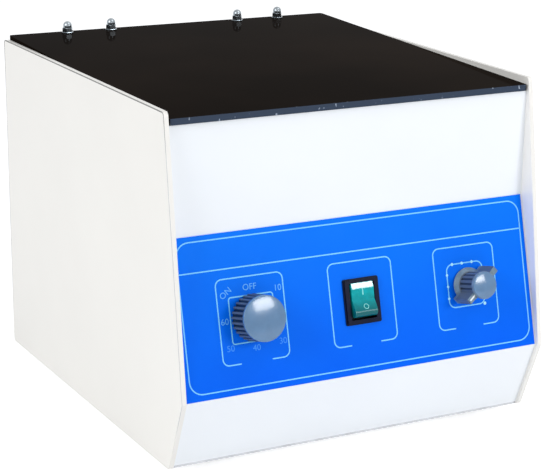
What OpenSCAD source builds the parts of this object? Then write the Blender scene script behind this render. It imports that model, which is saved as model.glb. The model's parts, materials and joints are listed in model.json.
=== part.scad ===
// Bench electric centrifuge: sheet-steel case, hinged dark lid, angle rotor on a damped motor

/* [Case] */
// Width over the two side panels
case_w = 270; // [262:1:290]
// Depth of a side panel along its bottom edge
case_d = 291.4; // [288:0.2:310]
// Height of a side panel at the back, without the feet
case_h = 234.1; // [230:0.1:240]
// How much lower the side panel's top edge is at the front
front_drop = 2.3; // [0:0.1:4]
// How far the top front corner lies behind the bottom one
top_setback = 2.1; // [0:0.1:4]
// How far the widest point of the front stands forward
kink_out = 21.7; // [16:0.1:26]
// Height of that widest point
kink_h = 50.4; // [44:0.1:56]
// Thickness of the sheet steel
sheet_t = 1.5; // [1:0.1:2]
// Thickness of a side panel at its hemmed edge
hem_t = 3; // [2.2:0.1:4]
// Width of that hem
hem_w = 18; // [16:0.5:24]
// Corner radius of the side panels
corner_r = 3; // [1:0.5:6]
// Height of the flanges that join the sheets
flange_h = 12; // [8:1:14]

/* [Front panel] */
// Set-back of the front panel's top edge
panel_top = 4; // [3:0.1:5]
// Set-back of the fold above the control plane
fold_back = 5.3; // [4:0.1:8]
// Height of the fold above the control plane
fold_h = 151; // [140:0.5:160]
// Recess of the lower fold behind the side panels
low_recess = 2.5; // [1.5:0.1:5]
// Recess of the chin's bottom edge
chin_recess = 2; // [1:0.1:4]
// Thickness of the printed overlay
overlay_t = 0.5; // [0.3:0.1:1]
// Gap between the overlay and each side panel
overlay_gap = 1.1; // [0.5:0.1:4]

/* [Deck and chamber] */
// How far the deck's top face lies below the side panels' top
deck_drop = 13.1; // [12.4:0.1:16]
// How far the spindle lies behind the middle of the case
spindle_set = 6.3; // [4:0.1:12]
// Inner radius of the bowl
bowl_r = 110; // [106:0.5:112]
// Wall of the bowl
bowl_t = 1.2; // [0.8:0.1:2]
// Depth of the bowl's underside below the deck
chamber_depth = 102; // [98:0.5:106]
// Radius between the bowl's wall and floor
bowl_corner = 14; // [8:1:20]
// Width of the bowl's flange on the deck
bowl_flange = 6; // [4:0.5:8]
// Thickness of the rubber trim on the flange
trim_t = 1.2; // [0.8:0.1:1.2]
// Radius of the spindle hole in the bowl
seal_r = 20; // [18:0.5:24]

/* [Lid] */
// Thickness of the lid
lid_t = 4; // [3:0.5:5]
// Set-back of the lid's front edge
lid_front = 2.3; // [1:0.1:4]
// Gap between the lid and each side panel
lid_gap = 0.5; // [0.3:0.1:1.5]
// Gap between the lid and the front panel's top
lid_rest_gap = 0.5; // [0.3:0.1:1]
// Slope of the closed lid, down to the front
lid_slope = 2; // [1.8:0.05:2.2]
// Corner radius of the lid
lid_corner = 2.5; // [1:0.5:6]
// Distance of each hinge's middle from the side panel
hinge_in = 61.5; // [50:0.5:70]
// Length of a hinge
hinge_len = 50; // [46:1:60]
// Distance between the two screws of a hinge leaf
hinge_pitch = 35; // [30:1:36]
// Thickness of a hinge leaf
leaf_t = 1.5; // [1.2:0.1:1.8]
// Outer radius of the hinge barrel
barrel_r = 3.5; // [3.3:0.1:4]
// Radius of the hinge pin
hinge_pin_r = 2; // [1.6:0.1:2.2]
// Distance of the dome nuts from the lid's back edge
nut_inset = 7; // [6:0.5:8]
// Width across the flats of the dome nuts
nut_flats = 7; // [6.5:0.5:8]
// Height of a dome nut
nut_h = 8; // [7:0.5:10]

/* [Rotor] */
// Number of tube places
places = 8; // [4:1:8]
// Lean of the tubes from upright
tube_lean = 35; // [32:1:37]
// Distance of a tube's mouth from the spindle
mouth_r = 40; // [40:0.5:43]
// How far a tube's mouth lies below the deck
mouth_drop = 15; // [13:0.5:18]
// Inner radius of a tube sleeve
tube_r = 10.3; // [9:0.1:10.6]
// Wall of a tube sleeve
sleeve_t = 1.2; // [0.8:0.1:1.4]
// Clearance between the sleeves and the bowl's floor
floor_clear = 8.3; // [6:0.1:12]
// Width of a sleeve's rim
rim_w = 2.5; // [1.5:0.1:3]
// Thickness of a sleeve's rim
rim_t = 2; // [1:0.1:3]
// Depth of the rotor's ring along the tubes
ring_depth = 38; // [30:1:42]
// Metal round each tube in the ring
ring_wall = 4; // [3:0.1:4.5]

/* [Motor] */
// Outer radius of the motor
motor_r = 46; // [44:0.5:50]
// Wall of the motor can
can_t = 2; // [1.5:0.1:3]
// Clearance between the motor's upper bearing and the shaft seal
motor_clear = 2.5; // [1.5:0.1:4]
// Height of the lower end cap
low_cap_h = 15.5; // [15:0.5:16]
// Height of the upper end cap
top_cap_h = 15; // [14:0.5:15.5]
// Height of a rubber damper
damper_h = 18; // [17:0.5:18.5]
// Radius of a rubber damper
damper_r = 11; // [9:0.5:13]
// Distance of the dampers from the spindle, along X and Y
damper_x = 52; // [50:0.5:58]
// Thickness of the motor plate
plate_t = 3; // [2.5:0.5:3.5]
// Radius of the spindle
shaft_r = 5; // [4.5:0.1:5.5]
// Outer radius of a ball bearing
bearing_r = 13; // [12:0.5:14]
// Width of a ball bearing
bearing_w = 8; // [7:0.5:9]
// Air gap round the armature
air_gap = 0.6; // [0.4:0.1:1]

/* [Controls] */
// Distance of the row of controls below the upper fold
row_v = 55.9; // [52:0.1:60]
// Distance of the timer from the left side panel
timer_in = 52.3; // [46:0.1:60]
// Place of the switch across the panel
switch_x = -0.4; // [-8:0.1:8]
// Distance of the speed control from the right side panel
speed_in = 50.4; // [46:0.1:60]
// Radius of the timer knob at its foot
timer_knob_r = 15.2; // [13:0.1:17]
// Height of the timer knob's face above the panel
timer_knob_h = 18.5; // [16:0.5:24]
// Radius of the speed knob's skirt
skirt_r = 11.6; // [11:0.1:14]
// Radius of the speed knob's face
cap_r = 9.2; // [8.8:0.1:10.5]
// Height of the speed knob's face above the panel
speed_knob_h = 22.5; // [20:0.5:30]
// Reach of the speed knob's two wings
wing_r = 15.2; // [14:0.1:18]
// Radius of the control spindles
spindle_r = 3; // [2.5:0.1:3.2]
// Width of the switch's bezel
bezel_w = 26.2; // [25:0.1:30]
// Height of the switch's bezel
bezel_h = 30.2; // [29:0.1:34]
// Width of the rocker
rocker_w = 16.6; // [15:0.1:17.4]
// Half length of the rocker
rocker_half = 11.2; // [10:0.1:11.6]
// Tilt of the rocker each way
rocker_tilt = 11; // [8:0.5:12]

/* [Rear and base] */
// Height of the rubber feet
foot_h = 8; // [6:0.5:12]
// Radius of the rubber feet
foot_r = 11; // [9:0.5:14]
// Distance of the feet from the side panels' outer faces
foot_in = 37; // [28:1:48]
// Distance of the feet from the case's front and back edges
foot_inset = 32; // [28:1:40]
// Distance of the mains inlet from the side panel beside it
inlet_in = 60; // [47:1:72]
// Distance of the fuse holder from the mains inlet
fuse_pitch = 46; // [42:1:52]
// Height of the inlet and the fuse holder
inlet_h = 42; // [36:1:50]
// How far the fuse cap stands out of the rear panel
fuse_out = 11; // [9:0.5:16]

/* [Fits] */
// Radial clearance of turning fits
run_gap = 0.06; // [0.02:0.01:0.1]
// Clearance between parts that are put together
fit_gap = 0.3; // [0.2:0.05:0.4]

/* [Hidden] */
$fn = 72;

// Case outline and frame
rear_face = case_d - 0.8;
cap_bevel = [0.9, 0.2];
front_reach = fold_back - row_v * sin(panel_tilt()) - (speed_knob_h - cap_bevel[1]) * cos(panel_tilt())
    - (cap_r - cap_bevel[0]) * sin(panel_tilt());
y0 = -(front_reach + rear_face + fuse_out) / 2;
base_z = foot_h;
inner_w = case_w - 2 * hem_t;
deck_h = case_h - deck_drop;
spindle_back = case_d / 2 + spindle_set;
bowl_floor_h = deck_h - chamber_depth;
low_out = kink_out - low_recess;
side_points = [[0, 0], [case_d, 0], [case_d, case_h], [top_setback, case_h - front_drop], [-kink_out, kink_h]];
panel_line = [[panel_top + flange_h, deck_h + sheet_t], [panel_top, deck_h + sheet_t], [fold_back, fold_h],
    [-low_out, kink_h], [chin_recess, sheet_t], [chin_recess + flange_h, sheet_t]];

// Lid and hinges
lid_w = inner_w - 2 * lid_gap;
lid_z = deck_h + sheet_t + lid_rest_gap;
rear_top = lid_under(rear_face) - leaf_t - 1;
rear_line = [[rear_face - flange_h, sheet_t], [rear_face, sheet_t], [rear_face, rear_top]];
barrel_gap = 0.5;
hinge_back = barrel_r + barrel_gap;
lid_len = (rear_face + hinge_back - lid_front - barrel_r * sin(lid_slope)) / cos(lid_slope) - hinge_back;
leaf_len = 19;
knuckles = 5;
knuckle_gap = 0.3;
screw_r = 2;
washer_t = 0.8;
washer_r = 4.4;
bumper_r = 5;
bumper_x = inner_w / 2 - 12;
hinge_x = inner_w / 2 - hinge_in;
bumper_y = panel_top + flange_h + 8;

// Rotor
sleeve_r = tube_r + sleeve_t;
ring_half = sleeve_r + ring_wall;
mouth_h = deck_h - mouth_drop;
straight_len = (mouth_h - bowl_floor_h - bowl_t - floor_clear - sleeve_r) / cos(tube_lean);
hub_r = 15;
hub_top = mouth_h - 24;
hub_bottom = hub_top - 32;
hub_gap = 0.03;
rim_r = sleeve_r + rim_w;

// Motor stack, measured up from the case bottom
plate_z = sheet_t + damper_h;
low_cap_z = plate_z + plate_t;
can_z = low_cap_z + low_cap_h;
boss_h = 9;
seal_lip = 2.5;
motor_top = bowl_floor_h - seal_lip - motor_clear - boss_h;
top_cap_z = motor_top - top_cap_h;
can_h = top_cap_z - can_z;
boss_wall = 4;
cap_floor = 3;
ear_h = 5;
core_z = can_z + 10;
core_h = can_h - 22;
winding_h = 6.5;
armature_r = 25.4;
stator_in = armature_r + air_gap;
stator_out = motor_r - can_t - 0.1;
commutator_r = 14;
commutator_z = low_cap_z + 4.5;
commutator_h = 12;
brush_w = 6;
brush_z = commutator_z + commutator_h / 2;
plate_half = damper_x + damper_r;
stud_r = 2.5;

// Controls
timer_x = timer_in - inner_w / 2;
speed_x = inner_w / 2 - speed_in;
bush_r = 4.5;
hex_t = 2.5;
timer_body = 46;
timer_depth = 30;
pot_r = 12;
pot_depth = 13;
knob_lift = 0.8;
shank_r = 8.7;
wing_w = 4.2;
wing_drop = 3;
pointer_angle = 220;
rocker_pivot = -2;
rocker_edge = 5.2;
rocker_dip = 3.4;
rocker_nose = 3.5;
bezel_t = 2.2;
switch_depth = 22;
switch_wall = 1.5;
well_gap = 1;
switch_body_w = rocker_w + 2 * well_gap + 2 * switch_wall;
rocker_rise = rocker_edge - rocker_nose - rocker_pivot;
well_half = norm([rocker_half, rocker_rise]) * cos(atan2(rocker_rise, rocker_half) - rocker_tilt) + fit_gap;

// Angle between the control plane and the upright
function panel_tilt() = atan2(fold_back + kink_out - low_recess, fold_h - kink_h);

// Height of the lid's underside at a depth behind the case's front corner
function lid_under(y) = lid_z + (y - lid_front) * tan(lid_slope);

function unit(v) = v / norm(v);
function left_of(v) = [-v[1], v[0]];

// Corner p of a line from a to b, moved to the left by d
function moved(a, p, b, d) = let (n = left_of(unit(p - a)), m = left_of(unit(b - p)))
    p + (n + m) * d / (1 + n * m);

// Closed outline drawn in by d
function inset(pts, d) = let (n = len(pts))
    [for (i = [0:n - 1]) moved(pts[(i + n - 1) % n], pts[i], pts[(i + 1) % n], d)];

// Open line moved to its left by d
function shifted(line, d) = let (n = len(line)) [for (i = [0:n - 1])
    i == 0 ? line[0] + left_of(unit(line[1] - line[0])) * d
    : i == n - 1 ? line[i] + left_of(unit(line[i] - line[i - 1])) * d
    : moved(line[i - 1], line[i], line[i + 1], d)];

// Sheet of one thickness along an open line
function sheet_outline(line, t) = let (back = shifted(line, t), n = len(line))
    concat(line, [for (i = [n - 1:-1:0]) back[i]]);

// Closed convex outline with its corners rounded by arcs of radius r
function rounded(pts, r, steps = 6) = let (n = len(pts), mid = inset(pts, r)) [for (i = [0:n - 1])
    let (u = unit(pts[i] - pts[(i + n - 1) % n]), w = unit(pts[(i + 1) % n] - pts[i]))
    let (from = atan2(-u[0], u[1]), turn = acos(min(1, u * w)))
    for (k = [0:steps]) mid[i] + r * [cos(from + turn * k / steps), sin(from + turn * k / steps)]];

// Rectangle centred on the origin
function oblong(w, h) = [[-w / 2, -h / 2], [w / 2, -h / 2], [w / 2, h / 2], [-w / 2, h / 2]];

// Arc of points about a centre
function arc(c, r, from, to, steps = 8) = [for (k = [0:steps]) let (a = from + (to - from) * k / steps)
    c + r * [cos(a), sin(a)]];

// Point on the rotor's section, s down the tube and w outwards across it
function tube_point(s, w) = [mouth_r + s * sin(tube_lean) + w * cos(tube_lean),
    mouth_h - s * cos(tube_lean) + w * sin(tube_lean)];

// Extrudes a side-view outline across X
module slab(x, w) {
    translate([x, y0, base_z])
        rotate([90, 0, 90])
            linear_extrude(w)
                children();
}

// Case coordinates: Y behind the front corner, Z above the case bottom
module in_case() {
    translate([0, y0, base_z]) children();
}

// Control plane: X across, Y up the plane, Z out of its face
module on_panel(x, v) {
    translate([x, y0 + fold_back - v * sin(panel_tilt()), base_z + fold_h - v * cos(panel_tilt())])
        rotate([90 - panel_tilt(), 0, 0])
            children();
}

// Lid plane: origin at the lid's lower front edge, Z out of its top
module on_lid() {
    translate([0, y0 + lid_front, base_z + lid_z])
        rotate([lid_slope, 0, 0])
            children();
}

// Hinge axis, with X along the barrel
module on_hinge_axis() {
    on_lid() translate([0, lid_len + hinge_back, -barrel_r]) children();
}

// Spindle axis, Z above the case bottom
module on_spindle() {
    in_case() translate([0, spindle_back, 0]) children();
}

// Tube place number k, Z out of its mouth
module on_tube(k) {
    on_spindle()
        rotate([0, 0, k * 360 / places])
            translate([mouth_r, 0, mouth_h])
                rotate([0, -tube_lean, 0])
                    children();
}

module ring(r_out, r_in, h) {
    difference() {
        cylinder(r = r_out, h = h);
        translate([0, 0, -1]) cylinder(r = r_in, h = h + 2);
    }
}

module hexagon(flats, h) {
    cylinder(r = flats / 2 / cos(30), h = h, $fn = 6);
}

module hex_nut(flats, h, bore) {
    difference() {
        hexagon(flats, h);
        translate([0, 0, -1]) cylinder(r = bore, h = h + 2);
    }
}

module at_corners(x, y) {
    for (i = [-1, 1], j = [-1, 1])
        translate([i * x, j * y, 0]) children();
}

// Pan-head screw: head below, shank upwards from the origin
module pan_screw(r, length) {
    head_h = 2.2;
    cylinder(r = r, h = length, $fn = 32);
    translate([0, 0, -head_h])
        rotate_extrude($fn = 40)
            polygon(concat([[0, head_h], [0, 0]], arc([1.1 * r, 0.8 * r], 0.8 * r, -90, 0, 4),
                [[1.9 * r, head_h]]));
}

// Case sheets

module side_panel() {
    difference() {
        slab(case_w / 2 - hem_t, hem_t) polygon(rounded(side_points, corner_r));
        slab(case_w / 2 - hem_t - 1, hem_t - sheet_t + 1) polygon(inset(side_points, hem_w));
    }
}

module left_side_panel() {
    color([0.94, 0.93, 0.91]) mirror([1, 0, 0]) side_panel();
}

module right_side_panel() {
    color([0.94, 0.93, 0.91]) side_panel();
}

module end_flange(line) {
    for (side = [-1, 1])
        slab(side * (inner_w - sheet_t) / 2 - sheet_t / 2, sheet_t)
            polygon(sheet_outline(line, flange_h));
}

module front_panel() {
    color([0.95, 0.98, 0.99])
        difference() {
            union() {
                slab(-inner_w / 2, inner_w) polygon(sheet_outline(panel_line, sheet_t));
                end_flange(concat([panel_line[1] - [0, sheet_t + fit_gap]], [for (i = [2:4]) panel_line[i]]));
            }
            on_panel(timer_x, row_v) panel_hole(bush_r + fit_gap);
            on_panel(speed_x, row_v) panel_hole(bush_r + fit_gap);
            on_panel(switch_x, row_v) switch_hole();
            base_screw_places() cylinder(r = screw_r + 0.2, h = 4 * sheet_t, $fn = 24);
            deck_flange_room();
        }
}

// Room for the deck between the front panel's end flanges
module deck_flange_room() {
    in_case()
        translate([-inner_w / 2 - 1, deck_front() - fit_gap, deck_h - flange_h - fit_gap])
            cube([inner_w + 2, 2 * flange_h, flange_h + fit_gap]);
}

module panel_hole(r) {
    translate([0, 0, -3 * sheet_t]) cylinder(r = r, h = 6 * sheet_t, $fn = 48);
}

module switch_hole() {
    linear_extrude(6 * sheet_t, center = true)
        square([switch_body_w + 2 * fit_gap, 2 * (well_half + switch_wall / 2 + fit_gap)], center = true);
}

// Set-back of the upper plane's face at a height
function panel_y(z) = let (top = deck_h + sheet_t)
    panel_top + (fold_back - panel_top) * (top - z) / (top - fold_h);

function deck_front() = panel_y(deck_h - flange_h) + sheet_t + 0.1;

module vent_slots(count, length, width, pitch) {
    for (i = [0:count - 1])
        translate([(i - (count - 1) / 2) * pitch, 0, 0])
            linear_extrude(8 * sheet_t, center = true)
                polygon(rounded(oblong(width, length), width / 2 - 0.05, 4));
}

module rear_panel() {
    color([0.94, 0.93, 0.91])
        difference() {
            union() {
                slab(-inner_w / 2, inner_w) polygon(sheet_outline(rear_line, sheet_t));
                end_flange([rear_line[1] + [0, sheet_t + fit_gap],
                    [rear_face, deck_h - flange_h - 2 * fit_gap]]);
            }
            on_rear(vent_x, vent_z) vent_slots(9, vent_len, 4, 10);
            on_rear(inlet_x, inlet_h) inlet_cut();
            on_rear(fuse_x, inlet_h) cylinder(r = fuse_body_r + fit_gap, h = 8 * sheet_t, center = true);
            hinge_screw_places() cylinder(r = screw_r + 0.2, h = 8 * sheet_t, center = true, $fn = 24);
            base_screw_places() cylinder(r = screw_r + 0.2, h = 4 * sheet_t, $fn = 24);
        }
}

// Rear panel's outer face: X across as in the frame, Y up, Z backwards out of the case
module on_rear(x, z) {
    in_case()
        translate([x, rear_face, z])
            rotate([90, 0, 0])
                mirror([0, 0, 1])
                    children();
}

vent_x = inner_w / 2 - 84;
vent_z = inlet_h + 36;
vent_len = 62;
inlet_x = inlet_in - inner_w / 2;
fuse_x = inlet_x + fuse_pitch;
fuse_body_r = 6;
inlet_w = 27;
inlet_tall = 19.4;
inlet_flange_w = 49;
inlet_flange_h = 23;
inlet_screw = 20;

module inlet_cut() {
    cube([inlet_w + 2 * fit_gap, inlet_tall + 2 * fit_gap, 8 * sheet_t], center = true);
    for (side = [-1, 1])
        translate([side * inlet_screw, 0, 0]) cylinder(r = 1.7, h = 8 * sheet_t, center = true, $fn = 24);
}

module base_plate() {
    plate_d = rear_face - chin_recess;
    color([0.75, 0.76, 0.77])
        difference() {
            union() {
                in_case() translate([-inner_w / 2, chin_recess, 0]) cube([inner_w, plate_d, sheet_t]);
                for (side = [-1, 1])
                    in_case()
                        translate([side * (inner_w - sheet_t) / 2 - sheet_t / 2, chin_recess + 2 * flange_h, 0])
                            cube([sheet_t, plate_d - 4 * flange_h, flange_h]);
            }
            base_screw_places() cylinder(r = screw_r + 0.2, h = 4 * sheet_t, center = true, $fn = 24);
            foot_places() cylinder(r = screw_r + 0.2, h = 4 * sheet_t, center = true, $fn = 24);
            on_spindle()
                at_corners(damper_x, damper_x)
                    cylinder(r = stud_r + 0.2, h = 4 * sheet_t, center = true, $fn = 24);
            on_spindle() vent_slots(7, 56, 5, 10);
        }
}

module base_screw_places() {
    screw_inset = flange_h / 2 + sheet_t;
    for (x = [-0.4, -0.14, 0.14, 0.4])
        for (y = [chin_recess + screw_inset, rear_face - screw_inset])
            in_case() translate([x * inner_w, y, 0]) children();
}

module case_screws() {
    color([0.72, 0.73, 0.74]) base_screw_places() pan_screw(screw_r, 7);
}

module foot_places() {
    foot_x = case_w / 2 - foot_in;
    for (x = [-foot_x, foot_x], y = [foot_inset, case_d - foot_inset])
        in_case() translate([x, y, 0]) children();
}

module rubber_feet() {
    recess_r = 4.6;
    recess_h = foot_h - 3;
    color([0.08, 0.08, 0.09])
        foot_places()
            translate([0, 0, -foot_h])
                rotate_extrude()
                    polygon([[recess_r, 0], [foot_r - 2.2, 0], [foot_r - 1.2, 1], [foot_r, foot_h],
                        [screw_r + 0.2, foot_h], [screw_r + 0.2, recess_h], [recess_r, recess_h]]);
}

module foot_screws() {
    color([0.72, 0.73, 0.74])
        foot_places() {
            translate([0, 0, -3]) pan_screw(screw_r, 3 + sheet_t + 5);
            translate([0, 0, sheet_t]) hex_nut(7, 3.2, screw_r + 0.05);
        }
}

deck_gap = 0.05;

module top_deck() {
    deck_d = rear_face - sheet_t - deck_gap - deck_front();
    color([0.93, 0.94, 0.93])
        difference() {
            in_case()
                translate([-inner_w / 2, deck_front(), deck_h - flange_h])
                    cube([inner_w, deck_d, flange_h]);
            in_case()
                translate([-inner_w / 2 + sheet_t, deck_front() + sheet_t, deck_h - flange_h - 1])
                    cube([inner_w - 2 * sheet_t, deck_d - 2 * sheet_t, flange_h + 1 - sheet_t]);
            on_spindle()
                translate([0, 0, deck_h - 2 * sheet_t])
                    cylinder(r = bowl_r + bowl_t + fit_gap, h = 4 * sheet_t, $fn = 144);
            hinge_screw_places() cylinder(r = screw_r + 0.2, h = 8 * sheet_t, center = true, $fn = 24);
        }
}

// Chamber

module chamber_bowl() {
    top = deck_h + bowl_t;
    out_r = bowl_r + bowl_t;
    color([0.78, 0.8, 0.82])
        on_spindle()
            rotate_extrude($fn = 144)
                polygon(concat([[seal_r, bowl_floor_h]],
                    arc([out_r - bowl_corner, bowl_floor_h + bowl_corner], bowl_corner, -90, 0),
                    [[out_r, deck_h], [out_r + bowl_flange, deck_h]],
                    [[out_r + bowl_flange, top], [bowl_r, top]],
                    arc([out_r - bowl_corner, bowl_floor_h + bowl_corner], bowl_corner - bowl_t, 0, -90),
                    [[seal_r, bowl_floor_h + bowl_t]]));
}

module bowl_rim_trim() {
    color([0.1, 0.1, 0.11])
        on_spindle()
            translate([0, 0, deck_h + bowl_t])
                ring(bowl_r + bowl_t + bowl_flange - 0.5, bowl_r + bowl_t + 0.5, trim_t, $fn = 144);
}

module shaft_seal() {
    lip = seal_lip;
    groove = bowl_t + 2 * 0.05;
    z = bowl_floor_h - 0.05;
    color([0.12, 0.12, 0.13])
        on_spindle()
            rotate_extrude()
                polygon([[shaft_r + 2, z - lip], [seal_r + lip, z - lip], [seal_r + lip, z], [seal_r - 0.05, z],
                    [seal_r - 0.05, z + groove], [seal_r + lip, z + groove], [seal_r, z + groove + 2],
                    [shaft_r + 6, z + groove + 7], [shaft_r + 2, z + groove + 7]]);
}

// Lid and hinges

module lid_screw_places() {
    on_lid()
        for (side = [-1, 1], end = [-1, 1])
            translate([side * hinge_x + end * hinge_pitch / 2, lid_len - nut_inset, 0]) children();
}

module lid() {
    color([0.12, 0.1, 0.09])
        difference() {
            on_lid()
                translate([0, lid_len / 2, 0])
                    linear_extrude(lid_t)
                        polygon(rounded(oblong(lid_w, lid_len), lid_corner));
            lid_screw_places() translate([0, 0, -1]) cylinder(r = screw_r + 0.2, h = lid_t + 2, $fn = 24);
        }
}

// Barrel pieces of a hinge, those with even or odd numbers
module barrel(first) {
    step = hinge_len / knuckles;
    for (i = [first:2:knuckles - 1])
        translate([-hinge_len / 2 + i * step + knuckle_gap / 2, 0, 0])
            rotate([0, 90, 0])
                cylinder(r = barrel_r, h = step - knuckle_gap, $fn = 48);
}

// Room that a leaf leaves for the other leaf's barrel pieces
module barrel_room(first) {
    step = hinge_len / knuckles;
    room = hinge_back + fit_gap;
    for (i = [first:2:knuckles - 1])
        translate([-hinge_len / 2 + i * step - knuckle_gap / 2 - (i == 0 ? 1 : 0), -room, -room])
            cube([step + knuckle_gap + (i == 0 || i == knuckles - 1 ? 1 : 0), 2 * room, 2 * room]);
}

module pin_bore(gap) {
    rotate([0, 90, 0]) cylinder(r = hinge_pin_r + gap, h = hinge_len + 2, center = true, $fn = 48);
}

module at_hinges() {
    on_hinge_axis()
        for (side = [-1, 1])
            translate([side * hinge_x, 0, 0]) children();
}

module upper_hinge_leaves() {
    color([0.76, 0.77, 0.78])
        difference() {
            at_hinges()
                difference() {
                    union() {
                        difference() {
                            translate([-hinge_len / 2, -leaf_len - hinge_back + barrel_gap, barrel_r - leaf_t])
                                cube([hinge_len, leaf_len + hinge_back - barrel_gap, leaf_t]);
                            barrel_room(0);
                        }
                        barrel(1);
                    }
                    pin_bore(run_gap);
                }
            lid_screw_places()
                translate([0, 0, -2 * leaf_t]) cylinder(r = screw_r + 0.2, h = 4 * leaf_t, $fn = 24);
        }
}

leaf_drop = 26;

module lower_hinge_leaves() {
    color([0.76, 0.77, 0.78])
        difference() {
            at_hinges()
                rotate([-lid_slope, 0, 0])
                    difference() {
                        union() {
                            difference() {
                                translate([-hinge_len / 2, -hinge_back, -leaf_drop])
                                    cube([hinge_len, leaf_t, leaf_drop]);
                                barrel_room(1);
                            }
                            barrel(0);
                        }
                        pin_bore(0.02);
                    }
            hinge_screw_places() cylinder(r = screw_r + 0.2, h = 8 * sheet_t, center = true, $fn = 24);
        }
}

module hinge_pins() {
    head = 1;
    color([0.66, 0.67, 0.69])
        at_hinges()
            rotate([0, 90, 0]) {
                cylinder(r = hinge_pin_r, h = hinge_len + 2 * head, center = true, $fn = 48);
                for (side = [-1, 1])
                    translate([0, 0, side * (hinge_len + head) / 2])
                        cylinder(r = barrel_r - 0.5, h = head, center = true, $fn = 48);
            }
}

module hinge_screw_places() {
    down = leaf_drop / 2 + barrel_r;
    for (side = [-1, 1], end = [-1, 1])
        on_rear(side * hinge_x + end * hinge_pitch / 2, hinge_axis_z() - down) children();
}

// Height of the hinge axis above the case bottom
function hinge_axis_z() = lid_z + (lid_len + hinge_back) * sin(lid_slope) - barrel_r * cos(lid_slope);

module hinge_screws() {
    color([0.72, 0.73, 0.74])
        hinge_screw_places() {
            translate([0, 0, leaf_t]) mirror([0, 0, 1]) pan_screw(screw_r, leaf_t + 2 * sheet_t + 4.5);
            translate([0, 0, -2 * sheet_t - 4 * deck_gap - 3.2]) hex_nut(7, 3.2, screw_r + 0.05);
        }
}

module lid_screws() {
    color([0.72, 0.73, 0.74])
        lid_screw_places()
            translate([0, 0, -leaf_t]) pan_screw(screw_r, leaf_t + lid_t + washer_t + nut_h / 2);
}

module lid_washers() {
    color([0.8, 0.81, 0.82])
        lid_screw_places() translate([0, 0, lid_t]) ring(washer_r, screw_r + 0.15, washer_t, $fn = 40);
}

module dome_nuts() {
    hex_h = nut_h * 0.42;
    dome_r = nut_flats / 2 - 0.25;
    color([0.83, 0.84, 0.85])
        lid_screw_places()
            translate([0, 0, lid_t + washer_t])
                difference() {
                    union() {
                        intersection() {
                            hexagon(nut_flats, hex_h);
                            cylinder(r1 = nut_flats, r2 = nut_flats / 2, h = hex_h, $fn = 48);
                        }
                        rotate_extrude($fn = 48)
                            polygon(concat([[0, hex_h / 2], [dome_r, hex_h / 2]],
                                arc([0, nut_h - dome_r], dome_r, 0, 90)));
                    }
                    translate([0, 0, -1]) cylinder(r = screw_r + 0.05, h = 1 + nut_h / 2 + 0.5, $fn = 32);
                }
}

module lid_bumpers() {
    bumper_h = lid_under(bumper_y - bumper_r) - deck_h - 0.1;
    color([0.1, 0.1, 0.11])
        in_case()
            for (side = [-1, 1])
                translate([side * bumper_x, bumper_y, deck_h])
                    rotate_extrude($fn = 40)
                        polygon([[0, 0], [bumper_r, 0], [bumper_r - 0.8, bumper_h], [0, bumper_h]]);
}

// Rotor

module rotor_head() {
    low_in = tube_point(ring_depth + rim_t, -ring_half);
    low_out_edge = tube_point(ring_depth + rim_t, ring_half);
    crater = tube_point(14, -ring_half);
    color([0.74, 0.76, 0.78])
        difference() {
            on_spindle()
                rotate_extrude($fn = 120)
                    polygon([[shaft_r + hub_gap, hub_bottom], [hub_r, hub_bottom], [hub_r + 1, hub_bottom + 7],
                        low_in, low_out_edge, tube_point(rim_t, ring_half), tube_point(rim_t, -ring_half),
                        crater, [hub_r + 3, hub_top - 3], [hub_r, hub_top], [shaft_r + hub_gap, hub_top]]);
            for (k = [0:places - 1])
                on_tube(k) {
                    translate([0, 0, -ring_depth - 3 * rim_t])
                        cylinder(r = sleeve_r + 0.1, h = 2 * ring_depth, $fn = 48);
                    translate([0, 0, -rim_t]) cylinder(r = rim_r + fit_gap, h = ring_depth, $fn = 48);
                }
        }
}

module tube_sleeves() {
    end_z = -straight_len;
    color([0.8, 0.81, 0.83])
        for (k = [0:places - 1])
            on_tube(k)
                rotate_extrude($fn = 48)
                    polygon(concat(arc([0, end_z], sleeve_r, -90, 0),
                        [[sleeve_r, -rim_t], [rim_r, -rim_t], [rim_r, 0], [tube_r, 0]],
                        arc([0, end_z], tube_r, 0, -90)));
}

module sleeve_cushions() {
    end_z = -straight_len;
    pad_r = tube_r - fit_gap;
    color([0.15, 0.15, 0.16])
        for (k = [0:places - 1])
            on_tube(k)
                rotate_extrude($fn = 40)
                    polygon(concat(arc([0, end_z], pad_r, -90, -12), [[0, end_z - pad_r * 0.45]]));
}

module rotor_nut() {
    flats = 17;
    hex_h = 8;
    color([0.8, 0.81, 0.82])
        on_spindle()
            translate([0, 0, hub_top])
                difference() {
                    union() {
                        hexagon(flats, hex_h);
                        rotate_extrude($fn = 48)
                            polygon(concat([[0, hex_h / 2], [flats / 2 - 0.5, hex_h / 2]],
                                arc([0, hex_h], flats / 2 - 0.5, 0, 90)));
                    }
                    translate([0, 0, -1]) cylinder(r = shaft_r - 1 + 0.05, h = hex_h + 3, $fn = 40);
                }
}

module motor_shaft() {
    bottom = low_cap_z - boss_h - 0.5;
    collar_h = 4;
    color([0.7, 0.71, 0.73])
        on_spindle() {
            translate([0, 0, bottom]) cylinder(r = shaft_r, h = hub_top - bottom);
            translate([0, 0, hub_bottom - collar_h]) cylinder(r = shaft_r + 3, h = collar_h);
            translate([0, 0, hub_top - 1]) cylinder(r = shaft_r - 1, h = 9);
        }
}

// Motor

module motor_can() {
    color([0.35, 0.36, 0.38])
        on_spindle() translate([0, 0, can_z]) ring(motor_r, motor_r - can_t, can_h);
}

module motor_bolt_places() {
    for (a = [45:90:315])
        on_spindle() rotate([0, 0, a]) translate([motor_r + 5, 0, 0]) children();
}

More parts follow.
